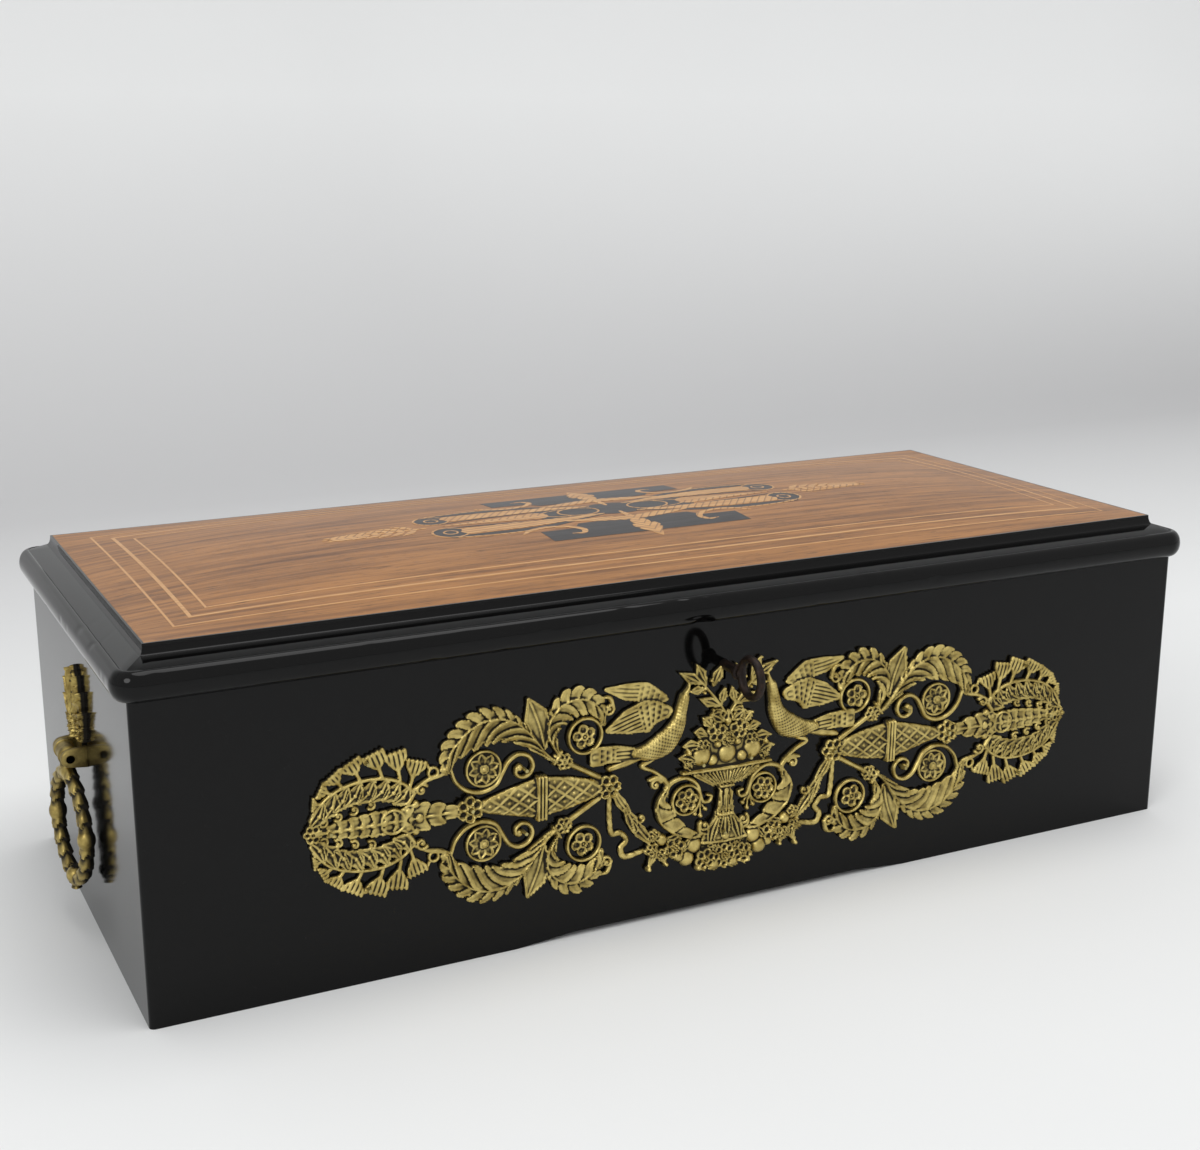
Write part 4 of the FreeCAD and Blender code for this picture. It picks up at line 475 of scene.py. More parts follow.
# %% Beads, rings and flowers
class RoundMotifs(Sheet):
    """Motifs that are drawn round a centre."""

    def bead(self, centre, radius, tall, base=0.0):
        def motif(u, v):
            gap = np.hypot(u - centre[0], v - centre[1])
            return radius - gap, base + tall * np.sqrt(np.clip(1 - (gap / radius) ** 2, 0, 1))

        self.around(centre, radius, motif)

    def ring(self, centre, radius, thick, tall):
        def motif(u, v):
            off = np.hypot(u - centre[0], v - centre[1]) - radius
            return thick - np.abs(off), tall * np.sqrt(np.clip(1 - (off / thick) ** 2, 0, 1))

        self.around(centre, radius + thick, motif)

    def flower(self, centre, radius, petals, tall, turn=0.0, pointed=False):
        """Cupped petals with raised rims round a beaded eye; pointed petals make a star."""
        pitch = 2 * math.pi / petals
        middle = radius / (1 + 1.12 * math.sin(pitch / 2))
        eye = 0.28 * radius

        def motif(u, v):
            gap = np.hypot(u - centre[0], v - centre[1])
            turned = np.arctan2(v - centre[1], u - centre[0]) - turn
            off = (turned + pitch / 2) % pitch - pitch / 2
            along = gap * np.cos(off)
            aside = np.abs(gap * np.sin(off))
            if pointed:
                inside = 0.29 * radius * np.sin(np.pi * np.clip(along / radius, 0, 1)) ** 0.8 - aside
            else:
                inside = radius - middle - np.hypot(along - middle, aside)
            rim = np.clip(1 - inside / (0.17 * radius), 0, 1)
            petal = np.where(inside > 0, 0.5 + 0.5 * rim ** 1.4, 0)
            button = np.where(gap < eye, 0.82 + 0.28 * np.cos(2 * np.pi * gap / eye), 0)
            return np.maximum(inside, eye - gap), tall * np.maximum(petal, button)

        self.around(centre, radius, motif)


print("round motifs ready")

# %% [markdown]
# ## Stems and leaves
# These motifs run along a line. A lobed leaf is made by cutting its length into lobes: within each lobe the
# height climbs to a lip and then drops, so the lobes seem to overlap like shingles.


# %% Stems and leaves
class LeafMotifs(RoundMotifs):
    """Motifs that follow a line."""

    def stem(self, points, thick, tall, beads=0, grain=0.0):
        """A round stem along a line; thick may run through several widths, and grain stipples it."""
        line = smooth_line(points)
        reach = float(np.max(thick))

        def motif(u, v):
            place, side = along_line(line, u, v)
            width = spread(thick, place)
            part = np.clip(1 - (side / np.maximum(width, 0.05)) ** 2, 0, 1)
            height = tall * np.sqrt(part)
            if beads:
                height = height * (0.72 + 0.28 * np.abs(np.sin(np.pi * beads * place)))
            if grain:
                height = height + grain * np.sin(2.9 * u + 1.3 * v) * np.sin(2.4 * v - 1.7 * u)
            return width - np.abs(side), height

        self.lay(line.min(0) - reach, line.max(0) + reach, motif)

    def volute(self, centre, radius, turns, start, thick, tall):
        """A stem that winds inwards to an eye."""
        points = []
        count = int(turns * 10)
        for index in range(count + 1):
            part = index / count
            angle = start + 2 * math.pi * turns * part
            reach = radius * (1 - 0.86 * part)
            points.append((centre[0] + reach * math.cos(angle), centre[1] + reach * math.sin(angle)))
        self.stem(points, [thick, thick * 0.6], tall)
        self.bead(centre, thick * 1.1, tall * 1.1)

    def leaf(self, points, left, right, lobes, tall, cleft=0.3, lean=0.1, rib=0.9):
        """A lobed leaf: each lobe rises to a lip that overlaps the next, and a mid-rib runs down it."""
        def motif(place, side):
            width = np.where(side >= 0, spread(left, place), spread(right, place))
            across = np.clip(np.abs(side) / np.maximum(width, 0.3), 0, 1.4)
            phase = lobes * (place - lean * across)
            part = phase - np.floor(phase)
            inside = width * (1 - cleft * (np.abs(part - 0.5) * 2) ** 3) - np.abs(side)
            lip = np.where(part < 0.86, 0.6 + 0.4 * (part / 0.86) ** 1.5, 0.46)
            crown = np.sqrt(np.clip(1 - 0.62 * across ** 2, 0, 1))
            height = tall * (crown * lip + 0.2 * np.clip(1 - inside / 0.8, 0, 1))
            height = np.maximum(height, (np.abs(side) < rib) * tall * (1 - (side / (rib + 0.01)) ** 2))
            return inside, height

        self.along(points, float(max(np.max(left), np.max(right))), motif)

    def blade(self, points, width, tall):
        """A plain leaf, hollow between its raised rim and a thin mid-rib."""
        def motif(place, side):
            inside = spread(width, place) - np.abs(side)
            ridge = np.maximum(np.clip(1 - inside / 0.75, 0, 1), np.clip(1 - np.abs(side) / 0.5, 0, 1))
            return inside, tall * (0.6 + 0.4 * ridge)

        self.along(points, float(np.max(width)), motif)

    def leaflet(self, foot, tip, bend, width, tall):
        """A blade from foot to tip, its middle pushed aside by the bend; gives that middle."""
        middle = ((foot[0] + tip[0]) / 2 + bend[0], (foot[1] + tip[1]) / 2 + bend[1])
        self.blade([foot, middle, tip], width, tall)
        return middle


print("stems and leaves ready")

# %% [markdown]
# ## Bells, wings and scales
# The last motifs carry a pattern of their own. Feathers and scales are waves: a cosine across the wing makes
# feathers, and two crossing waves make a lattice of scales. A flat patch with straight sides serves the
# marquetry.


# %% Bells, wings and scales
def run_of(points):
    """Length of the smooth line through the points."""
    line = smooth_line(points)
    return float(np.sum(np.hypot(*(line[1:] - line[:-1]).T)))


class PatternMotifs(LeafMotifs):
    """Motifs that are covered with a pattern."""

    def bell(self, foot, rim, half, tall):
        """A bell flower on a thin stalk, its mouth scalloped and fluted."""
        foot = np.array(foot, float)
        axis = np.array(rim, float) - foot
        length = float(np.hypot(*axis))
        axis = axis / length

        def motif(u, v):
            part = ((u - foot[0]) * axis[0] + (v - foot[1]) * axis[1]) / length
            side = (v - foot[1]) * axis[0] - (u - foot[0]) * axis[1]
            width = spread([0.7, 0.8, 1.0, 0.6 * half, 0.92 * half, half], np.clip(part, 0, 1))
            flute = np.abs(np.cos(2.5 * np.pi * side / half))
            inside = np.minimum(width - np.abs(side), (1 + 0.07 * flute - part) * length)
            inside = np.minimum(inside, part * length)
            return inside, tall * (0.62 + 0.2 * np.clip(part, 0, 1)) * (0.72 + 0.28 * flute)

        self.around((foot + np.array(rim)) / 2, length / 2 + half, motif)

    def wing(self, points, left, right, tall):
        """A bird's wing: small scales by the shoulder and long feathers towards the tip."""
        length = run_of(points)

        def motif(place, side):
            width = np.where(side >= 0, spread(left, place), spread(right, place))
            row = place * length / 3.0
            column = side / 2.8 + 0.5 * (np.floor(row) % 2)
            scale = np.hypot(column - np.floor(column) - 0.5, 0.7 * (row - np.floor(row)))
            feather = 0.5 + 0.5 * np.cos(2 * np.pi * side / 1.9)
            detail = np.where(place < 0.46, np.clip(1.5 * scale, 0, 1), feather)
            inside = width - np.abs(side)
            rim = np.clip(1 - inside / 0.8, 0, 1)
            return inside, tall * (0.62 + 0.2 * (1 - place)) * (0.78 + 0.22 * np.maximum(detail, rim))

        self.along(points, float(max(np.max(left), np.max(right))), motif)

    def scaled_body(self, points, width, tall, pitch, slant=1.4):
        """A swelling body covered in pointed scales with raised edges, each with a bead."""
        length = run_of(points)

        def motif(place, side):
            half = spread(width, place)
            run = place * length / pitch
            over = side / pitch * slant
            lattice = np.minimum(np.abs(np.sin(np.pi * (run + over))), np.abs(np.sin(np.pi * (run - over))))
            edge = np.exp(-(lattice / 0.22) ** 2)
            bead = np.clip((lattice - 0.955) / 0.045, 0, 1) ** 0.5
            round_side = np.sqrt(np.clip(1 - 0.75 * (side / np.maximum(half, 0.1)) ** 2, 0, 1))
            return half - np.abs(side), tall * round_side * (0.74 + 0.2 * edge + 0.26 * bead)

        self.along(points, float(np.max(width)), motif)

    def patch(self, corners):
        """A flat piece with straight sides."""
        corners = np.array(corners, float)

        def motif(u, v):
            within = np.zeros(u.shape, bool)
            nearest = np.full(u.shape, 1e9)
            for (au, av), (bu, bv) in zip(corners, np.roll(corners, -1, 0)):
                du = bu - au
                dv = bv - av
                crosses = (av > v) != (bv > v)
                within ^= crosses & (u < du * (v - av) / (dv + 1e-12) + au)
                share = np.clip(((u - au) * du + (v - av) * dv) / (du ** 2 + dv ** 2), 0, 1)
                nearest = np.minimum(nearest, np.hypot(u - au - share * du, v - av - share * dv))
            return np.where(within, nearest, -nearest), np.ones(u.shape)

        self.lay(corners.min(0), corners.max(0), motif)


print("patterned motifs ready")

# %% [markdown]
# ## From sheet to casting
# The grid is now turned into a closed mesh. Squares that the outline crosses have their outer corners drawn
# in to it, so the edge runs clean and not in steps. Edges that belong to one square only are the border, and
# a wall goes down from them to a flat back. A value stored with each point says how deep it lies among its
# neighbours, and the finish darkens those hollows.

# %% Castings
NEIGHBOURS = [(down, right) for down in (-1, 0, 1) for right in (-1, 0, 1) if down or right]


class Relief(PatternMotifs):
    """A sheet with every motif, which can be cast."""

    def drawn_in(self):
        """Grid places and heights with the rim drawn in to the outline, then what is kept and the rim."""
        keep = self.inside > 0
        u = self.u.copy()
        v = self.v.copy()
        height = self.height.copy()
        best = np.zeros(keep.shape)
        rim = np.zeros(keep.shape, bool)
        for step in NEIGHBOURS:
            depth, near_u, near_v, near_height, near_keep = (
                np.roll(grid, step, (0, 1)) for grid in (self.inside, self.u, self.v, self.height, keep)
            )
            weight = depth / math.hypot(*step)
            take = near_keep & ~keep & (weight > best)
            share = np.clip(self.inside / np.minimum(self.inside - depth, -1e-6), 0.02, 0.98)
            u[take] = (self.u + share * (near_u - self.u))[take]
            v[take] = (self.v + share * (near_v - self.v))[take]
            height[take] = np.minimum(near_height, self.EDGE)[take] * 0.8
            best[take] = weight[take]
            rim |= take
        return u, v, height, keep, rim

    def lot(self, to_world):
        """Points, faces and hollows of a closed casting: relief on top, a wall round it and a flat back."""
        u, v, height, keep, rim = self.drawn_in()
        rows, columns = keep.shape
        a = np.arange(rows * columns).reshape(rows, columns)
        corners = np.stack([a[:-1, :-1], a[:-1, 1:], a[1:, 1:], a[1:, :-1]], -1).reshape(-1, 4)
        flat_used = (keep | rim).ravel()
        flat_keep = keep.ravel()
        faces = corners[flat_used[corners].all(1) & flat_keep[corners].any(1)]
        present = np.unique(faces)
        renumber = np.full(rows * columns, -1)
        renumber[present] = np.arange(len(present))
        faces = renumber[faces]
        count = len(present)
        edges = np.concatenate([faces[:, [i, (i + 1) % 4]] for i in range(4)])
        keys = np.sort(edges, 1) @ np.array([count + 1, 1])
        _, first, times = np.unique(keys, return_index=True, return_counts=True)
        border = edges[first[times == 1]]
        walls = np.stack([border[:, 0], border[:, 0] + count, border[:, 1] + count, border[:, 1]], -1)
        every_face = np.concatenate([faces, walls, faces[:, ::-1] + count])
        top = np.stack([u.ravel()[present], v.ravel()[present], height.ravel()[present]], -1)
        back = top * np.array([1, 1, 0])
        hollow = np.concatenate([self.hollows().ravel()[present], np.ones(count)])
        return to_world(np.concatenate([top, back])), every_face.tolist(), hollow


print("castings can be made")

# %% [markdown]
# ## Meshes and pieces
# Closed lots of points and faces become one mesh. A piece rides on its body, takes its finish, and
# replaces a node of the imported model.


# %% Meshes and pieces
def outward(mesh):
    """Turns every face of a closed mesh to the outside."""
    working = bmesh.new()
    working.from_mesh(mesh)
    bmesh.ops.recalc_face_normals(working, faces=working.faces)
    working.to_mesh(mesh)
    working.free()
    return mesh


def mesh_of(name, *lots, smooth=35):
    """One mesh from several closed lots of points (in millimetres), faces and, if given, hollows, which on
    the bails also hold painted shade.
    """
    points = []
    faces = []
    hollows = []
    for lot_points, lot_faces, *lot_hollow in lots:
        start = len(points)
        points += (np.asarray(lot_points) * MM).tolist()
        faces += [[corner + start for corner in face] for face in lot_faces]
        hollows += list(lot_hollow[0]) if lot_hollow else [0.0] * (len(points) - start)
    mesh = bpy.data.meshes.new(name)
    mesh.from_pydata(points, [], faces)
    depth = mesh.attributes.new("hollow", "FLOAT", "POINT")
    depth.data.foreach_set("value", np.array(hollows, np.float32))
    outward(mesh)
    mesh.shade_smooth()
    mesh.set_sharp_from_angle(angle=math.radians(smooth))
    return mesh


def show(mesh, name, finish, body, node):
    """Makes a piece from a mesh, gives it its finish, and sets it in place of a CAD node."""
    mesh.materials.clear()
    mesh.materials.append(finish.material)
    piece = bpy.data.objects.new(name, mesh)
    bpy.context.scene.collection.objects.link(piece)
    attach(piece, body)
    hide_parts(node)
    print(name, "has", len(mesh.polygons), "faces")


def build(name, finish, body, slot, node, *lots, smooth=35):
    """Makes a piece straight from closed lots; edges sharper than the angle in degrees stay sharp."""
    show(mesh_of(name, *lots, smooth=smooth), name, finish, body, node)


print("pieces can be made")

# %% [markdown]
# ## Old gilding
# The mount and the handles are bronze that was gilded long ago. On the high places the gold is bright and
# slightly green, in the hollows it has gone brown with dirt. The depth that was stored with each casting
# drives both the colour and the gloss; on the bails it also carries painted shade on the side that faces the
# wall. A fine grain breaks up the shine as sand casting does.


# %% Gilding
def old_gilding(name, bright, worn, dirt_and_shade):
    gilding = Finish(name)
    hollow = gilding.attribute("hollow")
    patch = gilding.noise(gilding.place, 160, detail=5)
    grain = gilding.noise(gilding.place, 2600, detail=2)
    # Hollows take real dirt; on the bails the same value also carries painted shade on the side that faces
    # the wall.
    depth = gilding.ramp(hollow + 0.5 * (patch - 0.5), -0.16, 0.46)
    metal = gilding.mix(bright, worn, gilding.ramp(patch, 0.38, 0.66))
    return gilding.set(
        Base_Color=gilding.mix(metal, dirt_and_shade, depth),
        Metallic=1 - 0.55 * depth,
        Roughness=0.34 + 0.34 * depth + 0.1 * grain,
        Normal=gilding.bump(grain, 0.00012, 0.4),
    )


GILDING = old_gilding("old_gilding", colour(214, 194, 122), colour(164, 144, 82), colour(36, 30, 15))
HANDLED_GILDING = old_gilding(
    "handled_gilding", colour(180, 160, 96), colour(128, 110, 62), colour(27, 22, 12)
)
print("gilding mixed")

# %% [markdown]
# ## The gilt mount on the front
# The mount is three castings. A scroll of leaves, flower rings and a palmette lies at the left, its mirror
# image at the right, and a basket of fruit between two birds stands in the middle. The whole mount hangs
# slightly askew on the real box, one degree down to the right, and so it does here. The palmette and the
# flower ring come first.

# %% Palmette and flower ring
MOUNT_CENTRE = (0, -115.0, 71.5)
MOUNT_TILT = math.radians(-1.03)
BASKET_SHIFT = 1.2
FINE = 0.43


def on_front(flip, shift=0.0):
    """Turns mount coordinates into places on the front board, mirrored for the right scroll."""
    def to_world(points):
        u = points[:, 0] * flip + shift
        v = points[:, 1]
        x = u * math.cos(MOUNT_TILT) - v * math.sin(MOUNT_TILT)
        z = u * math.sin(MOUNT_TILT) + v * math.cos(MOUNT_TILT)
        y = -points[:, 2]
        return np.stack([x, y, z], -1) + np.array(MOUNT_CENTRE)

    return to_world


def palmette(relief):
    """A fan of bell flowers round a curved stem with leaves, at the outer end."""
    stem = [(-157, 13), (-162, 17.2), (-170, 20.2), (-180, 20.5), (-190, 18.2), (-197, 14), (-203, 6)]
    relief.stem(stem, [1.0, 0.95, 0.8], 2.6)
    bells = (
        ((-158, 14), (-154.5, 26), 4.4), ((-162, 17), (-164.6, 31.2), 4.8), ((-170, 20), (-174.6, 32), 5.0),
        ((-180, 20.5), (-185, 29.6), 4.8), ((-188, 18.6), (-193, 25), 4.0),
        ((-193, 16.6), (-198.6, 19.4), 3.4), ((-198, 13), (-202, 13.4), 2.6),
    )
    for foot, rim, half in bells:
        relief.bell(foot, rim, half + 0.7, 3.4)
    leaves = (
        ((-159, 13.6), (-165, 8.4)), ((-163, 16.8), (-170, 10.6)), ((-168.6, 18.6), (-175, 11.6)),
        ((-174.6, 19.4), (-181, 11.2)), ((-180.6, 19.2), (-187, 11)), ((-186.6, 18), (-192, 9.4)),
        ((-192, 16), (-196.4, 6.6)), ((-197.4, 12.4), (-202.4, 4)),
    )
    for foot, tip in leaves:
        middle = relief.leaflet(foot, tip, (0.9, -0.6), [1.2, 3.3, 3.5, 1.2], 3.0)
        relief.bead(middle, 0.85, 1.0, base=2.3)
    for centre in ((-197, 4.6), (-190.6, 6.2), (-183.4, 8.0), (-175.6, 9.2)):
        relief.volute(centre, 2.2, 1.1, math.pi * 1.3, 0.85, 2.4)


def flower_ring(relief):
    """A star flower in a dish, with the thin scroll that winds round it to a volute."""
    centre = (-123.2, 17.6)
    relief.bead(centre, 8.0, 0.3, base=0.9)
    relief.ring(centre, 8.1, 0.7, 2.3)
    relief.flower(centre, 7.4, 8, 3.0, turn=0.2, pointed=True)
    relief.bead(centre, 1.4, 1.6, base=2.0)
    scroll = [
        (-139, 20), (-136.5, 13.4), (-131, 8.4), (-124, 6.9), (-117.4, 9.4), (-114.2, 14.6), (-111, 19.6),
        (-106.4, 22), (-101.4, 20.4), (-99.3, 16), (-101, 12.2), (-104.6, 11), (-107.6, 12.8), (-107.6, 15.6),
    ]
    relief.stem(scroll, [0.9, 1.3, 1.3, 1.2, 1.0], 2.8)
    relief.bead((-106, 15.6), 2.0, 3.0)


print("palmette and flower ring drawn")

# %% [markdown]
# ## The scrolls
# Each half of a scroll is modelled above its middle line and repeated below it. Two great leaves roll over
# the flowers, and a scaled body swells along the middle. One sheet then gives both castings, because the
# right one is the left one turned over.


# %% Left and right scrolls
def acanthus(relief):
    """The two great leaves that roll over the flowers, and the pointed leaf between them."""
    relief.blade([(-94, 24), (-96, 33), (-99, 41), (-101.6, 47)], [1.6, 4.6, 5.8, 1.0], 3.0)
    great = [(-88, 16), (-94, 21.6), (-100, 29.5), (-107, 36.4), (-116, 40.2), (-125, 39.6), (-133, 35),
             (-139.4, 27.6), (-141.4, 20)]
    outer = [0.8, 3.0, 6.4, 9.6, 11.6, 12.2, 10.4, 7.0, 2.2]
    inner = [0.6, 2.6, 5.2, 6.4, 6.4, 5.4, 2.6]
    relief.leaf(great, outer, 0.4, 8.5, 4.4, cleft=0.2, lean=0.24, rib=0.5)
    relief.leaf(great[2:], 0.4, inner, 11, 3.6, cleft=0.42, lean=0.07, rib=0.6)
    second = [(-87, 19), (-91.6, 27), (-92, 34.4), (-88, 40.4), (-82, 43.8), (-75.6, 44), (-69.6, 41.2),
              (-65.6, 36), (-64.4, 31)]
    outer = [1.2, 3.6, 6.8, 8.6, 9.4, 9.0, 7.6, 4.4, 1.4]
    inner = [0.8, 3.4, 5.6, 6.2, 5.6, 4.0, 1.2]
    relief.leaf(second, 0.4, outer, 7.5, 4.2, cleft=0.4, lean=0.18, rib=0.6)
    relief.leaf(second[2:], inner, 0.4, 8, 3.4, cleft=0.45, lean=0.06, rib=0.6)
    relief.ring((-73.4, 26), 8.3, 0.95, 2.8)
    relief.flower((-74, 25.9), 5.9, 5, 3.4, turn=0.5)
    relief.volute((-61.4, 37.4), 3.2, 1.3, math.pi * 0.9, 1.0, 2.8)
    relief.stem([(-64.6, 43), (-61, 42.2), (-58.8, 37)], [0.6, 1.4, 0.8], 2.6)
    relief.stem([(-66, 5), (-74, 9.6), (-81, 13.6), (-88, 18)], [1.5, 1.4, 1.9], 2.8)
    relief.flower((-84, 15.4), 4.2, 6, 3.8)
    relief.stem([(-89.4, 15.2), (-85.6, 20.6)], [0.9, 0.9], 3.8)


def stem_and_body(relief):
    """The middle line of a scroll: pod, leafy stem, rosettes and the swelling scaled body."""
    pod = [(-160, 0), (-168, 0), (-182, 0), (-200, 0)]
    relief.leaf(pod, *both([5.2, 6.0, 4.6, 1.4]), 8, 3.2, cleft=0.14, lean=0.05, rib=0.9)
    for u in range(-195, -163, 5):
        relief.bead((u, 0), 1.3, 1.2, base=2.6)
    relief.ring((-166, 0), 5.4, 0.7, 3.2)
    relief.flower((-202, 0), 4.2, 6, 3.4)
    for u, v in ((-159, 3.8), (-158, 0), (-155.4, 6.2)):
        relief.bead((u, v), 2.0, 3.4)
    husk = [(-158, 0), (-152, 0), (-145, 0), (-136, 0)]
    relief.leaf(husk, *both([6.4, 6.8, 5.2, 2.6]), 3, 3.6, cleft=0.3, lean=0.16, rib=0.7)
    relief.bead((-154, 0), 1.8, 1.6, base=2.8)
    relief.volute((-152.6, 12.4), 2.9, 1.2, 0.6, 1.1, 2.8)
    relief.ring((-147, 19.6), 2.2, 0.8, 2.4)
    relief.stem([(-157, 12), (-152, 15.4), (-147.4, 17), (-143, 18), (-140, 20)], [1.3, 1.0, 1.4, 1.2], 2.4)
    relief.stem([(-150, 24.6), (-149, 22)], [0.8, 0.8], 1.8)
    relief.stem([(-159, 7), (-156, 11.4)], [1.5, 1.2], 2.8)
    relief.flower((-130.3, 0), 6.2, 6, 4.4, turn=0.5)
    relief.scaled_body([(-125.5, 0), (-116, 0), (-97.6, 0)], [2.4, 6.2, 9.4], 4.2, 9.4)
    relief.scaled_body([(-93.4, 0), (-80, 0), (-66, 0)], [9.4, 7.4, 3.6], 4.2, 9.4)
    for u in (-97.2, -95.4, -93.6):
        relief.stem([(u, -10), (u, 10)], 1.0, 4.8)
    relief.flower((-61.2, 0), 6.0, 6, 4.4)


def scroll_casting():
    relief = Relief(-210, -52, -56, 56, FINE)
    palmette(relief)
    flower_ring(relief)
    acanthus(relief)
    stem_and_body(relief)
    relief.mirror_up()
    return relief


scroll = scroll_casting()
for side, flip in (("left", 1), ("right", -1)):
    build(f"mount_{side}_scroll", GILDING, "case", "gilt_bronze", f"front_mount_{side}",
          scroll.lot(on_front(flip)), smooth=180)

# %% [markdown]
# ## The basket
# The middle casting is drawn on its left half and mirrored. The basket is a footed bowl: plain leaves
# without lobes give the bowl, the stem and the foot, and beads, flowers and blades are heaped above. The
# fruit must be laid higher than the leaves behind it, because only the highest motif is seen.


# %% Basket
def basket(relief):
    """Footed bowl heaped with fruit and flowers, with a spray of leaves above it."""
    plain = {"cleft": 0.0, "lean": 0.0, "rib": 0.0}
    relief.stem([(-24, 0.6), (0, 0)], [1.0, 1.0], 4.6)
    relief.leaf([(0, 0), (0, -4.4), (0, -8)], *both([22, 11.5, 4.4]), 1, 4.0, **plain)
    for u in range(-16, 1, 4):
        relief.blade([(u, -1), (u * 0.5, -6.6)], [1.8, 1.2], 4.6)
    leaves = (
        ((-9, 22), (-13.6, 26.4)), ((-12, 18), (-18, 19.6)), ((-15, 13), (-24, 13.4)),
        ((-18, 6), (-26, 8)), ((-3, 24), (-9.4, 27.6)), ((0, 22), (0, 29)),
    )
    for foot, tip in leaves:
        relief.leaflet(foot, tip, (0, 0.4), [1.0, 2.8, 0.3], 3.6)
    fruit = (
        (-13.8, 7.6, 5.6), (0, 7.4, 5.4), (-5.4, 12.6, 2.2), (-8, 5, 3.2), (-21, 10.4, 1.8), (0, 23.6, 2.2),
    )
    for u, v, radius in fruit:
        relief.bead((u, v), radius, 5.2 - 0.04 * v)
    relief.flower((-13.4, 12.2), 3.8, 5, 4.6, turn=0.9)
    relief.flower((-6, 18.8), 5.2, 5, 4.8, turn=0.3)
    relief.flower((-20.6, 4.4), 2.8, 5, 4.2)
    relief.flower((0, 14.6), 3.6, 5, 5.0, turn=0.6)
    relief.stem([(-1, 27), (-6, 34), (-12, 41), (-19, 48.4)], [0.9, 0.8, 0.6], 3.0)
    spray = (
        ((-14, 43), (-26.4, 49.8), 2.8), ((-12.4, 43), (-17.6, 53), 2.9), ((-8.6, 41.4), (-3.6, 51.2), 2.9),
        ((-12.6, 40.4), (-21, 40), 2.3), ((-5, 31.4), (-15.4, 35.8), 2.7), ((-3.6, 32), (-1.8, 40), 2.4),
        ((-2.6, 28.4), (-9.6, 27.4), 2.2),
    )
    for foot, tip, half in spray:
        relief.leaflet(foot, tip, (0, 0), [0.5, half, 0.3], 3.0)
    for u, v in ((-9.4, 44), (-12.6, 38.4), (-7.6, 29.4)):
        relief.bead((u, v), 1.0, 2.8)
    for v, half in ((-8.8, 3.4), (-23.2, 3.6)):
        relief.stem([(-half, v), (half, v)], 1.0, 4.8)
    relief.leaf([(0, -9.6), (0, -14), (0, -22.6)], *both([2.4, 3.0, 4.6]), 1, 3.8, **plain)
    relief.blade([(0, -11), (0, -16), (0, -22)], [0.8, 1.4, 1.6], 4.6)
    relief.blade([(-2.6, -12), (-2.8, -16), (-3.4, -22)], [0.6, 0.8, 1.0], 4.2)
    relief.leaf([(0, -24), (0, -29), (0, -37.6)], *both([5.4, 10, 13.4]), 1, 3.6, **plain)
    relief.stem([(-12, -36.4), (0, -37)], [1.0, 1.0], 4.2)
    for u in (-8, 0):
        relief.blade([(u * 0.5, -25), (u * 0.8, -30), (u, -36)], [1.4, 2.8, 1.6], 4.4)
    relief.bead((0, -34.4), 1.6, 1.0, base=4.0)


print("basket drawn")

# %% [markdown]
# ## Birds and garland
# A bird pecks at the spray from either side, and a swag of flowers on husks and ribbons hangs below. The
# middle casting sits a little to the right of the scrolls' middle, as on the real box.


# %% Birds and garland
def bird(relief):
    """A pecking bird with raised wings, seen from its side."""
    far_wing = [(-34, 39.4), (-44, 43), (-54, 44.6), (-64, 46.6)]
    relief.wing(far_wing, [2.6, 5.2, 4.6, 1.2], [1.4, 4.6, 3.6, 0.8], 2.6)
    near_wing = [(-33.6, 32), (-41, 33), (-50, 31), (-63, 26.8)]
    relief.wing(near_wing, [3.0, 9.4, 6.6, 1.4], [3.6, 6.4, 5.4, 1.4], 4.0)
    body = [(-23.8, 38), (-25.4, 31), (-27.4, 24), (-33, 17), (-41, 13.8), (-49, 14)]
    relief.stem(body, [2.6, 3.3, 5.0, 6.4, 5.2, 2.6], 4.8, grain=0.4)
    relief.wing([(-70, 15.2), (-58, 15), (-46, 14)], *both([4.6, 4.0, 2.0]), 3.6)
    relief.stem([(-46, 11.6), (-53, 10), (-62, 8.2)], [1.4, 2.2, 1.6], 3.2)
    relief.stem([(-23.2, 39.4), (-22, 42), (-21.4, 44)], [1.9, 1.1, 0.4], 3.6)
    relief.bead((-23.8, 37.6), 0.8, 1.0, base=4.2)
    relief.stem([(-40, 9.6), (-45, 6.8), (-39, 3.6), (-32.6, -1)], [1.6, 1.1, 0.9], 2.8)
    relief.volute((-37.6, -3.4), 2.9, 1.2, 0.4, 1.1, 2.6)
    relief.stem([(-41, -0.6), (-36, 0), (-32, -3), (-31, -6)], [1.0, 1.6, 1.4], 2.8)


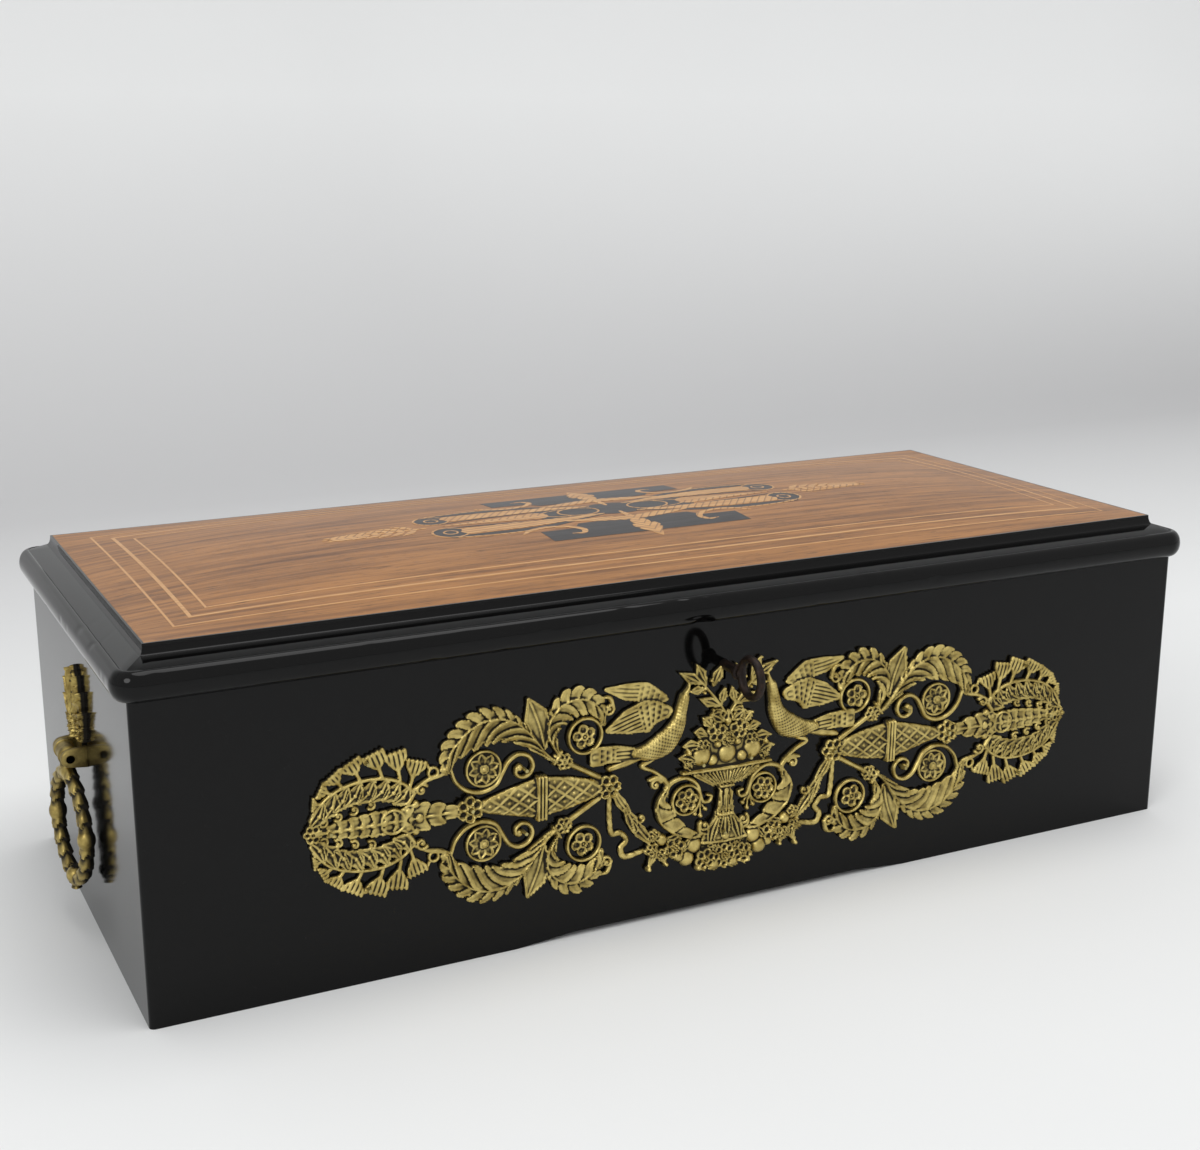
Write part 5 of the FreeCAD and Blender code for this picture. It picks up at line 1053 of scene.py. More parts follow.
def garland(relief):
    """Scrolls beside the foot, and below them a swag of flowers on husks and ribbons."""
    relief.ring((-21, -13.6), 7.3, 0.8, 2.6)
    relief.flower((-21, -13.6), 5.9, 6, 3.6, turn=0.2)
    scroll = [(-32, -6), (-28, -3.2), (-21.4, -2.4), (-15.4, -6.4), (-13.4, -12), (-11.8, -15.6), (-8.6, -16),
              (-7.4, -13.4), (-9.6, -12.6)]
    relief.stem(scroll, [1.4, 1.3, 1.1, 0.9], 2.8)
    relief.stem([(-13.4, -12), (-13.4, -18)], [0.9, 0.7], 2.2)
    for u, v in ((-16, -21.4), (-12.8, -22.8), (-10.2, -19.8)):
        relief.bead((u, v), 1.3, 2.6)
        relief.stem([(-13.2, -16), (u, v)], 0.5, 1.8)
    curl = [(-32, -5.6), (-36.4, -12), (-36, -20), (-30.6, -27), (-21, -32), (-13, -33)]
    relief.leaf(curl, [1.4, 7.0, 8.6, 8.0, 5.4, 1.4], [0.4, 0.8, 1.0, 0.8, 0.6, 0.4], 4.5, 3.6,
                cleft=0.34, lean=0.13, rib=0.6)
    relief.volute((-10.6, -28), 2.8, 1.2, 2.4, 1.1, 2.8)
    relief.stem([(-8, -33), (-13, -31), (-13.4, -27)], [1.2, 1.1], 2.6)
    relief.blade([(-59, -4), (-56, -9), (-52.4, -14)], [1.4, 2.6, 1.8], 3.2)
    relief.blade([(-53.4, -13), (-50.6, -18), (-48.4, -24)], [1.2, 2.8, 1.6], 3.6)
    relief.blade([(-49.6, -19), (-45.6, -25), (-41, -30.6)], [1.2, 3.2, 1.4], 3.6)
    relief.volute((-45, -18.6), 2.6, 1.1, 2.9, 0.9, 2.6)
    ribbon = [(-61.4, -5), (-61.2, -15), (-60, -24), (-55.4, -24.6), (-52.2, -28.6), (-55, -32.6),
              (-52.6, -37), (-43, -35.6)]
    relief.stem(ribbon, [1.2, 1.5, 1.4, 1.6, 1.3], 2.2, beads=12)
    flowers = (
        (-38.4, -28.4, 3.4, 6), (-27, -36.2, 5.6, 6), (-10.2, -45, 5.4, 6), (0, -44.6, 6.2, 8),
        (-33, -38.6, 3.4, 5), (-6, -38.8, 3.2, 5), (-39.4, -35.4, 3.6, 5),
    )
    for u, v, radius, petals in flowers:
        relief.flower((u, v), radius, petals, 4.6, turn=u)
    berries = (
        (-34, -31.4, 3.2), (-16.4, -37, 4.4), (-20, -43.2, 4.2), (-5, -48.4, 3.0), (-13.6, -49, 1.8),
        (-40.6, -45, 1.6), (-31.4, -44, 1.4), (-24.6, -41.6, 2.6),
    )
    for u, v, radius in berries:
        relief.bead((u, v), radius, 4.2)
    leaves = (
        ((-38, -37), (-40.4, -44)), ((-36, -38), (-31.6, -43.6)), ((-22, -38), (-18.4, -32.6)),
        ((-3, -49), (-7.6, -50.6)), ((-30, -32), (-24, -31.4)),
    )
    for foot, tip in leaves:
        relief.leaflet(foot, tip, (0.5, 0), [1.4, 1.9, 0.5], 3.2)


def basket_casting():
    relief = Relief(-72, 72, -58, 58, FINE)
    bird(relief)
    basket(relief)
    garland(relief)
    relief.mirror_across()
    return relief


build("mount_basket", GILDING, "case", "gilt_bronze", "front_mount_centre",
      basket_casting().lot(on_front(1, BASKET_SHIFT)), smooth=180)

# %% [markdown]
# ## The moulded rails of the lid
# A case maker runs the moulding with a shaped plane and mitres the four lengths at the corners. Here the
# section is a list of points: a tucked-in underside, a round nose, a wide sloping ledge, a small hollow step
# and a thin strip against the panel. Each point is drawn out along its side, shorter the further it lies
# inwards, which makes the mitre by itself. The nose and the ledge's outer edge turn the corner in an arc,
# because the real corners are rounded off. A few knocks from long use are pressed into the edges, among
# them the nick above the key.


# %% Moulded rails
LID_FLOOR = 144.5
LID_HALF = (281.2, 121.2)
CORNER = 11.0
KNOCK_SPACING = 12
KNOCK_ZONE = 14
KNOCK_HEIGHT = 1.5
KEY_NICKS = [(-14.5, 0.6, 2.2, 3.2), (-11, 1.0, 1.2, 2.0)]


def arc_points(centre, reach, start, end, count):
    """Points on a part of an ellipse, angles in degrees."""
    angles = np.radians(np.linspace(start, end, count))
    return [(centre[0] + reach[0] * math.cos(a), centre[1] + reach[1] * math.sin(a)) for a in angles]


def rail_section():
    """Section of the moulding as pairs of inset from the lid's edge and height above its underside."""
    section = [(20.2, 0)]
    section += arc_points((4.6, 6.5), (4.6, 6.5), 270, 180, 10)
    section += arc_points((4.6, 6.5), (4.6, 7.0), 176, 90, 16)
    section += [(5.2, 13.2), (13.5, 16.2)]
    section += arc_points((13.5, 21), (1.9, 4.8), 270, 360, 9)
    section += [(16.4, 21), (16.4, 13), (20.2, 13)]
    return np.array(section)


def closed_tube(grid):
    """Faces of a grid of points: stations along a run, each a closed loop, with a cap at either end."""
    stations, around = grid.shape[:2]
    index = np.arange(stations * around).reshape(stations, around)
    beside = np.roll(index, -1, 1)
    quads = np.stack([index[:-1], index[1:], beside[1:], beside[:-1]], -1).reshape(-1, 4).tolist()
    return grid.reshape(-1, 3), quads + [index[0].tolist(), index[-1][::-1].tolist()]


def turn_quarters(run, across, quarter):
    """Turns places along and across the front side by quarter turns about the middle of the lid."""
    turn = quarter * math.pi / 2
    return run * math.cos(turn) - across * math.sin(turn), run * math.sin(turn) + across * math.cos(turn)


def knocks_on(quarter, half, chance):
    """Place along the side, height, depth and width of each knock; the front has the nick above the key."""
    knocks = [
        (chance.uniform(-half, half), chance.choice((1.6, 7, 12)), chance.uniform(0.1, 0.35),
         chance.uniform(1.5, 4))
        for _ in range(int(half / KNOCK_SPACING))
    ]
    return knocks + KEY_NICKS if quarter == 0 else knocks


def rail(quarter, chance):
    """One length of moulding; a quarter turn count of 0 is the front, 1 the right end, and so on."""
    half, reach = LID_HALF if quarter % 2 == 0 else LID_HALF[::-1]
    section = rail_section()
    corner = np.linspace(0, 1, 9)[1:]
    straight = 1 - CORNER / half
    bent = 1 - straight
    middle = np.linspace(-straight, straight, int(half))
    steps = np.concatenate([-1 + bent * (1 - corner[::-1]), middle, straight + bent * corner])
    inset = np.repeat(section[None, :, 0], len(steps), 0)
    height = np.repeat(section[None, :, 1], len(steps), 0)
    run = steps[:, None] * (half - inset)
    shape = inset.copy()
    for place, level, depth, width in knocks_on(quarter, half, chance):
        dent = np.exp(-((run - place) / width) ** 2 - ((height - level) / KNOCK_HEIGHT) ** 2)
        shape += depth * dent * (inset < KNOCK_ZONE)
    bend = math.pi / 4 * np.clip((np.abs(steps) - straight) / bent, 0, 1)[:, None]
    outer = np.maximum(CORNER - shape, 0)
    rounded = inset < CORNER
    turned_run = np.sign(steps)[:, None] * (half - CORNER + outer * np.sin(bend))
    run = np.where(rounded, np.where(bend > 0, turned_run, steps[:, None] * half), run)
    across = np.where(rounded, -(reach - CORNER) - outer * np.cos(bend), -(reach - shape))
    x, y = turn_quarters(run, across, quarter)
    return closed_tube(np.stack([x, y, LID_FLOOR + height], -1))


knock_chance = random.Random(11)
front_rail, right_rail, back_rail, left_rail = (rail(quarter, knock_chance) for quarter in range(4))
build("lid_front_moulding", BLACK_POLISH, "lid", "ebonised_wood", "lid_rail_front", front_rail)
build("lid_back_moulding", BLACK_POLISH, "lid", "ebonised_wood", "lid_rail_back", back_rail)
build("lid_end_mouldings", BLACK_POLISH, "lid", "ebonised_wood", "lid_rails_end", right_rail, left_rail)

# %% [markdown]
# ## The domed rosewood panel
# The panel swells gently to the middle, and its faded rosewood shows long dark veins and open pores along
# the grain. The grain is noise pulled out along X. The varnish over it is half dull, so that the far part of
# the lid takes on a pale sheen from the backdrop while the near part shows its colour.

# %% Panel
PANEL_HALF = (264.8, 104.8)
PANEL_DOME = 9.0
PANEL_RIM = 165.5
PANEL_SEAT = 157.5
PANEL_GRID = (213, 85)


def dome(x, y):
    """Height of the panel's upper face."""
    return PANEL_RIM + PANEL_DOME * (1 - (x / PANEL_HALF[0]) ** 4) * (1 - (y / PANEL_HALF[1]) ** 2)


def rosewood():
    wood = Finish("rosewood")
    drift = wood.noise(wood.stretch((2.5, 9, 9)), 2.0, detail=3)
    veins = wood.noise(wood.stretch((5, 120, 60)), 2.2, detail=6, rough=0.62)
    fine = wood.noise(wood.stretch((22, 900, 500)), 2.0, detail=3)
    pores = wood.ramp(wood.noise(wood.stretch((50, 900, 600)), 1.6, detail=2), 0.60, 0.70)
    scuffs = wood.ramp(wood.noise(wood.stretch((40, 220, 90), turn=(0, 0, 0.4)), 1.5, detail=6), 0.66, 0.74)
    pale = wood.mix(colour(161, 111, 61), colour(98, 62, 34), wood.ramp(veins + 0.4 * drift, 0.60, 0.92))
    grained = wood.mix(pale, colour(172, 123, 78), wood.ramp(fine, 0.52, 0.8) * 0.4)
    pored = wood.mix(grained, colour(52, 34, 24), pores * 0.75)
    return wood.set(
        Base_Color=wood.mix(pored, colour(70, 46, 34), scuffs * 0.4),
        Roughness=0.34 + 0.12 * fine + 0.1 * scuffs,
        IOR=1.36,
        Normal=wood.bump(fine * 0.5 - pores, 0.00006, 0.35),
    )


ROSEWOOD = rosewood()


def slab(x, y, top, floor):
    """A closed block over a grid of places, with its own heights above and below."""
    rows, columns = x.shape
    upper = np.stack([x, y, top], -1).reshape(-1, 3)
    lower = np.stack([x, y, floor], -1).reshape(-1, 3)
    index = np.arange(rows * columns).reshape(rows, columns)
    quads = np.stack([index[:-1, :-1], index[:-1, 1:], index[1:, 1:], index[1:, :-1]], -1).reshape(-1, 4)
    edge = np.concatenate([index[0, :-1], index[:-1, -1], index[-1, :0:-1], index[:0:-1, 0]])
    after = np.roll(edge, -1)
    count = rows * columns
    walls = np.stack([edge, edge + count, after + count, after], -1)
    return np.concatenate([upper, lower]), np.concatenate([quads, walls, quads[:, ::-1] + count]).tolist()


def panel():
    x, y = np.meshgrid(*(np.linspace(-1, 1, count) * half for count, half in zip(PANEL_GRID, PANEL_HALF)))
    return slab(x, y, dome(x, y), np.full(x.shape, PANEL_SEAT))


build("lid_panel_board", ROSEWOOD, "lid", "rosewood", "lid_panel", panel())

# %% [markdown]
# ## Stringing
# Three lines of pale stringing follow the edge of the panel. Veneers stand a few hundredths of a millimetre
# proud of the dome, so that the woods don't flicker through one another.

# %% Stringing
STRINGS = ((15.4, 1.0), (24.2, 1.7), (33.4, 1.0))


def plain_veneer(name, light, dark):
    veneer = Finish(name)
    grain = veneer.noise(veneer.stretch((30, 500, 500)), 2.0, detail=4)
    cloud = veneer.noise(veneer.place, 45, detail=4)
    return veneer.set(
        Base_Color=veneer.mix(light, dark, veneer.ramp(grain + 0.5 * cloud, 0.5, 1.0)),
        Roughness=0.32 + 0.12 * grain,
        IOR=1.42,
        Normal=veneer.bump(grain, 0.00004, 0.3),
    )


def frame_lot(inset, width, proud=0.08, sunk=0.5):
    """A thin frame that follows the dome, a given inset inside the panel's edge."""
    lots = []
    for quarter in range(4):
        half, reach = PANEL_HALF if quarter % 2 == 0 else PANEL_HALF[::-1]
        steps = np.linspace(-1, 1, int(half / 2))[:, None]
        across = np.array([inset, inset + width])[None, :]
        x, y = turn_quarters(steps * (half - across), -(reach - across) + 0 * steps, quarter)
        lots.append(slab(x, y, dome(x, y) + proud, dome(x, y) - sunk))
    return lots


STRING_WOOD = plain_veneer("string_wood", colour(204, 158, 104), colour(176, 128, 80))
strings = [lot for inset, width in STRINGS for lot in frame_lot(inset, width)]
build("lid_stringing", STRING_WOOD, "lid", "boxwood", "stringing", *strings)

# %% [markdown]
# ## Marquetry
# In the middle of the lid lies a marquetry of plumes, loops and hooks on black stained grounds. Marquetry is
# sawn from thin veneers, so each kind of wood is one flat sheet laid on the dome. One quarter is drawn and
# mirrored twice. The barbs of the plumes are burnt lines, and the finish draws them from the distance to both
# centre lines.


# %% Marquetry
def pale_veneer():
    veneer = Finish("pale_veneer")
    along, aside = (
        veneer.node("ShaderNodeMath", {"operation": "ABSOLUTE"}, {0: veneer.axis(axis)}) for axis in "XY"
    )
    barb = veneer.node("ShaderNodeMath", {"operation": "FRACT"}, {0: (along + 0.75 * aside) * 235})
    burnt = veneer.ramp(barb, 0.30, 0.06)
    grain = veneer.noise(veneer.stretch((30, 500, 500)), 2.0, detail=4)
    stain = veneer.noise(veneer.place, 60, detail=5)
    wood = veneer.mix(colour(206, 160, 102), colour(172, 124, 74), veneer.ramp(grain + 0.4 * stain, 0.5, 0.9))
    return veneer.set(
        Base_Color=veneer.mix(wood, colour(112, 76, 46), burnt * 0.8),
        Roughness=0.36 + 0.1 * grain,
        IOR=1.42,
        Normal=veneer.bump(grain, 0.00004, 0.3),
    )


def flat_sheet(relief, proud, sunk=0.4):
    """Turns the outline of a relief into a veneer of even thickness on the dome."""
    relief.height = np.where(relief.inside > 0, 1.0, 0.0)

    def to_world(points):
        x = points[:, 0]
        y = points[:, 1]
        lift = np.where(points[:, 2] > 0, proud, -sunk)
        return np.stack([x, y, dome(x, y) + lift], -1)

    return relief.lot(to_world)


def pale_marquetry():
    relief = Relief(-160, 160, -60, 60, 0.45)
    plume = [(-84, -13.5), (-60, -14), (-35, -12.5), (-10, -9)]
    relief.leaf(plume, [5.4, 5.6, 3.4, 0.6], [6.4, 5.6, 3.8, 0.8], 9, 1, cleft=0.16, lean=0.05)
    short_plume = [(-34, -16.5), (-20, -19), (-5.5, -21)]
    relief.leaf(short_plume, [0.6, 3.6, 3.4], [0.6, 3.4, 4.2], 5, 1, cleft=0.2, lean=0.12)
    relief.leaf([(-94, 0), (-70, 0), (-44, 0)], *both([0.3, 3.0, 6.4]), 6, 1, cleft=0.2, lean=0.08)
    relief.ring((-95.5, -13.5), 8.9, 0.55, 1)
    relief.ring((-95.5, -13.5), 3.4, 0.5, 1)
    relief.stem([(-95, -23.8), (-75, -26), (-56, -25.6)], [0.5, 0.6, 0.5], 1)
    hook = [(-64, -31), (-58, -26), (-48, -23.6), (-38, -26.6), (-33, -33), (-35.4, -38.6), (-41, -38)]
    relief.stem(hook, [0.6, 1.5, 1.4, 1.3, 1.7, 1.5, 0.4], 1)
    drop = [(0, -8), (0, -25), (0, -36), (0, -55)]
    relief.leaf(drop, *both([0.8, 3.0, 8.0, 0.4]), 6, 1, cleft=0.45, lean=-0.16)
    ellipse = [(-20 + 11 * math.cos(a), 8 * math.sin(a)) for a in np.linspace(0, 2 * math.pi, 17)]
    relief.stem(ellipse, 0.5, 1)
    relief.stem([(-43, 0), (-36, -5.5), (-28, -7.6)], 0.45, 1)
    for number in range(7):
        foot = -109 - 6 * number
        reach = 9.6 - 1.05 * number
        relief.blade([(foot, 0), (foot - 4, -0.55 * reach), (foot - 9.5, -reach)], [0.9, 1.9, 0.3], 1)
    relief.stem([(-104, 0), (-130, 0), (-156, 0)], [0.9, 0.7, 0.4], 1)
    relief.mirror_up()
    relief.mirror_across()
    return relief


def black_marquetry():
    relief = Relief(-110, 110, -52, 52, 0.5)
    relief.patch([(-55, -30.5), (-55, -47), (0, -47), (0, -21), (-31, -23), (-36, -30), (-47, -30.5)])
    relief.bead((-95.5, -13.5), 8.5, 1)
    relief.stem([(-97, -22.4), (-75, -23.4), (-52, -22.4), (-36, -18.5), (-20, -13), (-7, -8.6)],
                [1.8, 2.6, 2.6, 2.0, 1.3, 0.9], 1)
    relief.stem([(-93, -4.6), (-70, -7.4), (-48, -9.4), (-36, -9.8)], [0.6, 0.9, 0.9, 0.8], 1)
    relief.patch([(-48, 0), (-43.5, -8), (-30, -10.6), (-15, -8.8), (-5, -12), (0, -12), (0, 0)])
    relief.mirror_up()
    relief.mirror_across()
    return relief


PALE_VENEER = pale_veneer()
BLACK_VENEER = plain_veneer("black_veneer", colour(40, 36, 38), colour(26, 22, 22))
black_sheet = flat_sheet(black_marquetry(), 0.07)
pale_sheet = flat_sheet(pale_marquetry(), 0.12)
build("marquetry_black", BLACK_VENEER, "lid", "ebony", "marquetry_ground", black_sheet)
build("marquetry_pale", PALE_VENEER, "lid", "boxwood", "marquetry_leaves", pale_sheet)

# %% [markdown]
# ## Handles at the ends
# Each end carries a cast back plate like a pointed leaf, with two ears that hold a pin. The plate is relief
# like the mount, laid on the end board. Where the bail swings past, the relief is kept low.

# %% Back plates and ears
END_FACE = 275.0
PIN_REACH = 282.5
PIN_LEVEL = 87.0
PLATE_LEVEL = 109.0
SWING_ROOM = 5.6
LOW_RELIEF = 2.0
EAR_RADIUS = 4.2
EAR_ROOT = [(-7.5, 5.0), (-7.5, -5.0)]
EAR_SPAN = (8.0, 11.2)
EAR_EDGE = 0.5
EAR_TAPER = 0.86


def on_end(side):
    """Turns plate coordinates into places on the left (-1) or right (1) end board."""
    def to_world(points):
        x = side * (END_FACE + points[:, 2])
        return np.stack([x, -side * points[:, 0], PLATE_LEVEL + points[:, 1]], -1)

    return to_world


def plate_casting():
    relief = Relief(-22, 22, -24, 24, 0.4)
    relief.leaf([(0, -17), (0, -4), (0, 18.6)], *both([7, 13, 1.0]), 5, 3.4, cleft=0.24, lean=0.2, rib=1.3)
    for tip, width in (((16.5, -8), 3.4), ((18, 1), 3.8), ((15, 10), 3.6), ((8.5, 16), 3.2)):
        foot = (tip[0] * 0.25, -12 + 0.2 * tip[1])
        bend = ((foot[0] + tip[0]) / 2 + 1.0, (foot[1] + tip[1]) / 2 - 0.6)
        relief.leaf([foot, bend, tip], *both([1.2, width, 0.4]), 4, 4.2, cleft=0.3, lean=0.16, rib=0.6)
    relief.mirror_across()
    relief.leaf([(0, -12), (0, 0), (0, 17)], *both([3.0, 4.2, 0.4]), 6, 4.8, cleft=0.3, lean=0.2, rib=0.9)
    relief.flower((0, -10.2), 6.0, 8, 5.6)
    by_the_pin = np.abs(relief.v - PIN_LEVEL + PLATE_LEVEL) < SWING_ROOM
    relief.height = np.where(by_the_pin, np.minimum(relief.height, LOW_RELIEF), relief.height)
    return relief


def ear(side, start, end):
    """A lug that stands out from the plate and holds the pin, with softened edges."""
    angles = np.radians(np.linspace(-90, 90, 13))
    outline = np.array([(EAR_RADIUS * math.cos(a), EAR_RADIUS * math.sin(a)) for a in angles] + EAR_ROOT)
    stations = []
    for y, scale in ((start, EAR_TAPER), (start + EAR_EDGE, 1.0), (end - EAR_EDGE, 1.0), (end, EAR_TAPER)):
        out, up = (outline * scale).T
        stations.append(np.stack([side * (PIN_REACH + out), np.full(len(out), y), PIN_LEVEL + up], -1))
    return closed_tube(np.array(stations))


plates = plate_casting()
plate_lots = []
for side in (-1, 1):
    plate_lots.append(plates.lot(on_end(side)))
    plate_lots += [ear(side, -EAR_SPAN[1], -EAR_SPAN[0]), ear(side, *EAR_SPAN)]
build("handle_backs", HANDLED_GILDING, "case", "gilt_bronze", "handle_plates", *plate_lots, smooth=60)

# %% [markdown]
# ## The bails
# A bail hangs from each pin: an eye, a short neck and two bowed arms that meet in a leafy foot. An arm is a
# tube along an arc whose radius swells and drops again in a row of overlapping leaves, with a knot half way.
# The arms are twisted a little about the neck, because the real bail hangs askew, and painted shade is laid
# on the side that faces the wall.

# %% Bails
BAIL_TWIST = math.radians(7)
NECK_LEVELS = (83.2, 74.5)
FOOT_LEVELS = (30.5, 19.5)
ARM_MIDDLE = 51
ARM_HALF_HEIGHT = 27.0
ARM_BOW = 27.705
ARM_REACH = 21.5
ARM_KNOTS = ((0.5, 4.2, 0.07), (0.02, 3.6, 0.08))
FOOT_KNOTS = ((0.4, 4.4, 0.4),)
EYE = [(-7.7, 2.1), (-7.7, 4.0), (-6.9, 4.7), (-4.6, 4.7), (-4.2, 4.2), (4.2, 4.2), (4.6, 4.7), (6.9, 4.7),
       (7.7, 4.0), (7.7, 2.1)]


def closed_ring(grid):
    """Faces of a grid of points that closes on itself both ways, such as a bored boss."""
    stations, around = grid.shape[:2]
    index = np.arange(stations * around).reshape(stations, around)
    beside = np.roll(index, -1, 1)
    quads = np.stack([index, np.roll(index, -1, 0), np.roll(beside, -1, 0), beside], -1)
    return grid.reshape(-1, 3), quads.reshape(-1, 4).tolist()


def turned(profile, place, around=28, loop=False):
    """A form turned about an axis along Y: pairs of distance along it and radius."""
    angles = np.linspace(0, 2 * math.pi, around, endpoint=False)
    grid = np.array([
        np.stack([place[0] + np.sin(angles) * radius, np.full(around, place[1] + run),
                  place[2] + np.cos(angles) * radius], -1)
        for run, radius in profile
    ])
    return closed_ring(grid) if loop else closed_tube(grid)


def leafy_tube(path, base, swell, whorls, wall, knots=(), around=24):
    """A tube in a plane across X, its radius rising and dropping in whorls of leaves; painted shade darkens
    the side towards the wall.
    """
    path = np.array(path)
    ahead = np.gradient(path, axis=0)
    ahead /= np.linalg.norm(ahead, axis=1)[:, None]
    side = np.cross(ahead, (1.0, 0.0, 0.0))
    angles = np.linspace(0, 2 * math.pi, around, endpoint=False)
    place = np.linspace(0, 1, len(path))[:, None]
    whorl = place * whorls + 0.16 * np.cos(4 * angles)[None, :]
    rise = (whorl - np.floor(whorl)) ** 0.7
    radius = base + swell * rise * (0.8 + 0.2 * np.cos(4 * angles + 2)[None, :])
    for centre, size, width in knots:
        radius = np.maximum(radius, size * np.sqrt(np.clip(1 - ((place - centre) / width) ** 2, 0, 1)))
    outwards = np.array([1.0, 0, 0])
    ring = np.cos(angles)[None, :, None] * side[:, None, :] + np.sin(angles)[None, :, None] * outwards
    points, faces = closed_tube(path[:, None, :] + radius[..., None] * ring)
    hollow = np.clip((base + 0.55 * swell - radius) / max(swell, 0.1) * 1.4, -1, 1)
    # Painted shade: the side that faces the wall is darkened, joined to the hollows by the same stored value.
    painted_wall_shade = np.clip(1.6 * wall * np.sin(angles) - 0.2, -1, 1)[None, :]
    return points, faces, np.maximum(hollow, painted_wall_shade).ravel()


def bail(side):
    """Closed lots of a bail: eye on the pin, short neck, two bowed arms and a leafy foot."""
    x = side * PIN_REACH
    lots = [turned(EYE, (x, 0, PIN_LEVEL), loop=True)]
    neck = [(x, 0, z) for z in np.linspace(*NECK_LEVELS, 16)]
    lots.append(leafy_tube(neck, 2.7, 0.9, 2, -side))
    opening = math.asin(ARM_HALF_HEIGHT / ARM_BOW)
    for hand in (-1, 1):
        arm = []
        for angle in np.linspace(opening, -opening, 90):
            out = hand * (ARM_REACH - ARM_BOW + ARM_BOW * math.cos(angle))
            z = ARM_MIDDLE + ARM_BOW * math.sin(angle)
            arm.append((x - out * math.sin(BAIL_TWIST), out * math.cos(BAIL_TWIST), z))
        lots.append(leafy_tube(arm, 2.4, 1.4, 10, -side, knots=ARM_KNOTS))
    foot = [(x, 0, z) for z in np.linspace(*FOOT_LEVELS, 30)]
    lots.append(leafy_tube(foot, 1.6, 1.4, 2.6, -side, knots=FOOT_KNOTS))
    return lots


for name, side in (("left_bail", -1), ("right_bail", 1)):
    build(f"{name}_casting", HANDLED_GILDING, name, "gilt_bronze", name, *bail(side), smooth=50)

# %% [markdown]
# ## The key
# A plain wrought key stands in the lock: a thick ring for the fingers, a collar, a round shank and a bit. Old
# iron goes dark brown, smooth where hands rub it and dull elsewhere.

# %% Key
KEY_LEVEL = 122.5
BOW_MIDDLE = -140
BOW_RADIUS = 8.6
WIRE = (1.75, 2.1)
SHANK_START = -132.4
SHANK = [(0, 1.7), (0.6, 2.6), (2.2, 2.6), (2.6, 3.6), (3.6, 3.9), (4.6, 3.6), (5.0, 2.7), (6.4, 2.45),
         (29.4, 2.45), (29.9, 1.9)]
BIT_SIDES = (-1.0, 1.0)
BIT_RUN = (-108.5, -102.5)
BIT_TOP = 121.5
BIT_FLOOR = 115.3


def old_iron():
    iron = Finish("old_iron")
    rust = iron.noise(iron.place, 260, detail=6, rough=0.65)
    pits = iron.ramp(iron.noise(iron.place, 1500, detail=3), 0.56, 0.72)
    brown = iron.mix(colour(36, 29, 26), colour(60, 44, 35), iron.ramp(rust, 0.48, 0.7))
    return iron.set(
        Base_Color=iron.mix(brown, colour(26, 20, 18), pits * 0.6),
        Metallic=0.75 - 0.4 * pits,
        Roughness=0.38 + 0.22 * rust + 0.15 * pits,
        Normal=iron.bump(rust - pits, 0.00012, 0.4),
    )


def key_bow(stations=56, around=18):
    """A ring in the plane across X, thicker from side to side than along the plane."""
    turn = np.linspace(0, 2 * math.pi, stations, endpoint=False)[:, None]
    wire = np.linspace(0, 2 * math.pi, around, endpoint=False)[None, :]
    reach = BOW_RADIUS + WIRE[0] * np.cos(wire) * np.ones((stations, 1))
    x = WIRE[1] * np.sin(wire) * np.ones((stations, 1))
    y = BOW_MIDDLE + reach * np.cos(turn)
    z = KEY_LEVEL + reach * np.sin(turn) * 1.04
    return closed_ring(np.stack([x, y, z], -1))


OLD_IRON = old_iron()
shank = turned(SHANK, (0, SHANK_START, KEY_LEVEL), around=24)
bit = slab(*np.meshgrid(BIT_SIDES, BIT_RUN), np.full((2, 2), BIT_TOP), np.full((2, 2), BIT_FLOOR))
build("key_in_lock", OLD_IRON, "key", "iron", "key", key_bow(), shank, bit)

# %% [markdown]
# ## Metals of the movement
# What the lid hides is still part of the lesson. Brass shows fine marks and a little tarnish, the steel of
# the comb is brushed, the iron bedplate is dark and dull, and so is the lead in its own grey. Each finish
# reads the place on the object itself, so it stays with a piece that turns.


# %% Metals inside the case
def metal(name, bright, dull, rough, brushed, tarnish=0.5):
    """A worked metal: brush marks along one direction, tarnish in clouds and a few specks."""
    made = Finish(name)
    marks = made.noise(made.stretch(brushed), 3.0, detail=3)
    cloud = made.noise(made.place, 38, detail=6, rough=0.6)
    specks = made.ramp(made.noise(made.place, 700, detail=2), 0.66, 0.74)
    age = made.ramp(cloud, 0.42, 0.72) * tarnish
    return made.set(
        Base_Color=made.mix(made.mix(bright, dull, age), colour(48, 38, 28), specks * 0.45),
        Metallic=1 - 0.35 * specks,
        Roughness=rough + 0.14 * age + 0.08 * marks,
        Normal=made.bump(marks, 0.00003, 0.3),
    )


BRASS = metal("brass", colour(226, 190, 118), colour(172, 132, 70), 0.24, (9, 260, 260))
STEEL = metal("steel", colour(196, 197, 200), colour(140, 138, 134), 0.22, (260, 9, 260))
CAST_IRON = metal("cast_iron", colour(74, 66, 60), colour(50, 42, 38), 0.5, (60, 60, 60), tarnish=0.9)
LEAD = metal("lead", colour(134, 136, 140), colour(104, 104, 106), 0.52, (80, 80, 80), tarnish=0.8)
GILT_PINS = old_gilding("gilt_pins", colour(205, 193, 132), colour(168, 152, 92), colour(50, 43, 22))
dress(BRASS, "hinge_case_leaves", "hinge_lid_leaves", "lid_link", "lock_case", "cylinder_tube",
      "cylinder_end_caps", "great_wheel", "spring_barrel", "comb_base", "worm_wheel", "governor_frame", "fan",
      "control_bracket", "start_lever", "change_lever", "bridges")
dress(STEEL, "hinge_pins", "hinge_lid_screws", "screws", "lock_bolt", "cylinder_arbor", "mainspring",
      "winding_arbor", "ratchet_wheel", "drive_pawl", "holding_click", "click_spring", "comb",
      "governor_arbor", "worm")
dress(CAST_IRON, "bedplate", "winding_lever")
dress(LEAD, "tuning_leads")
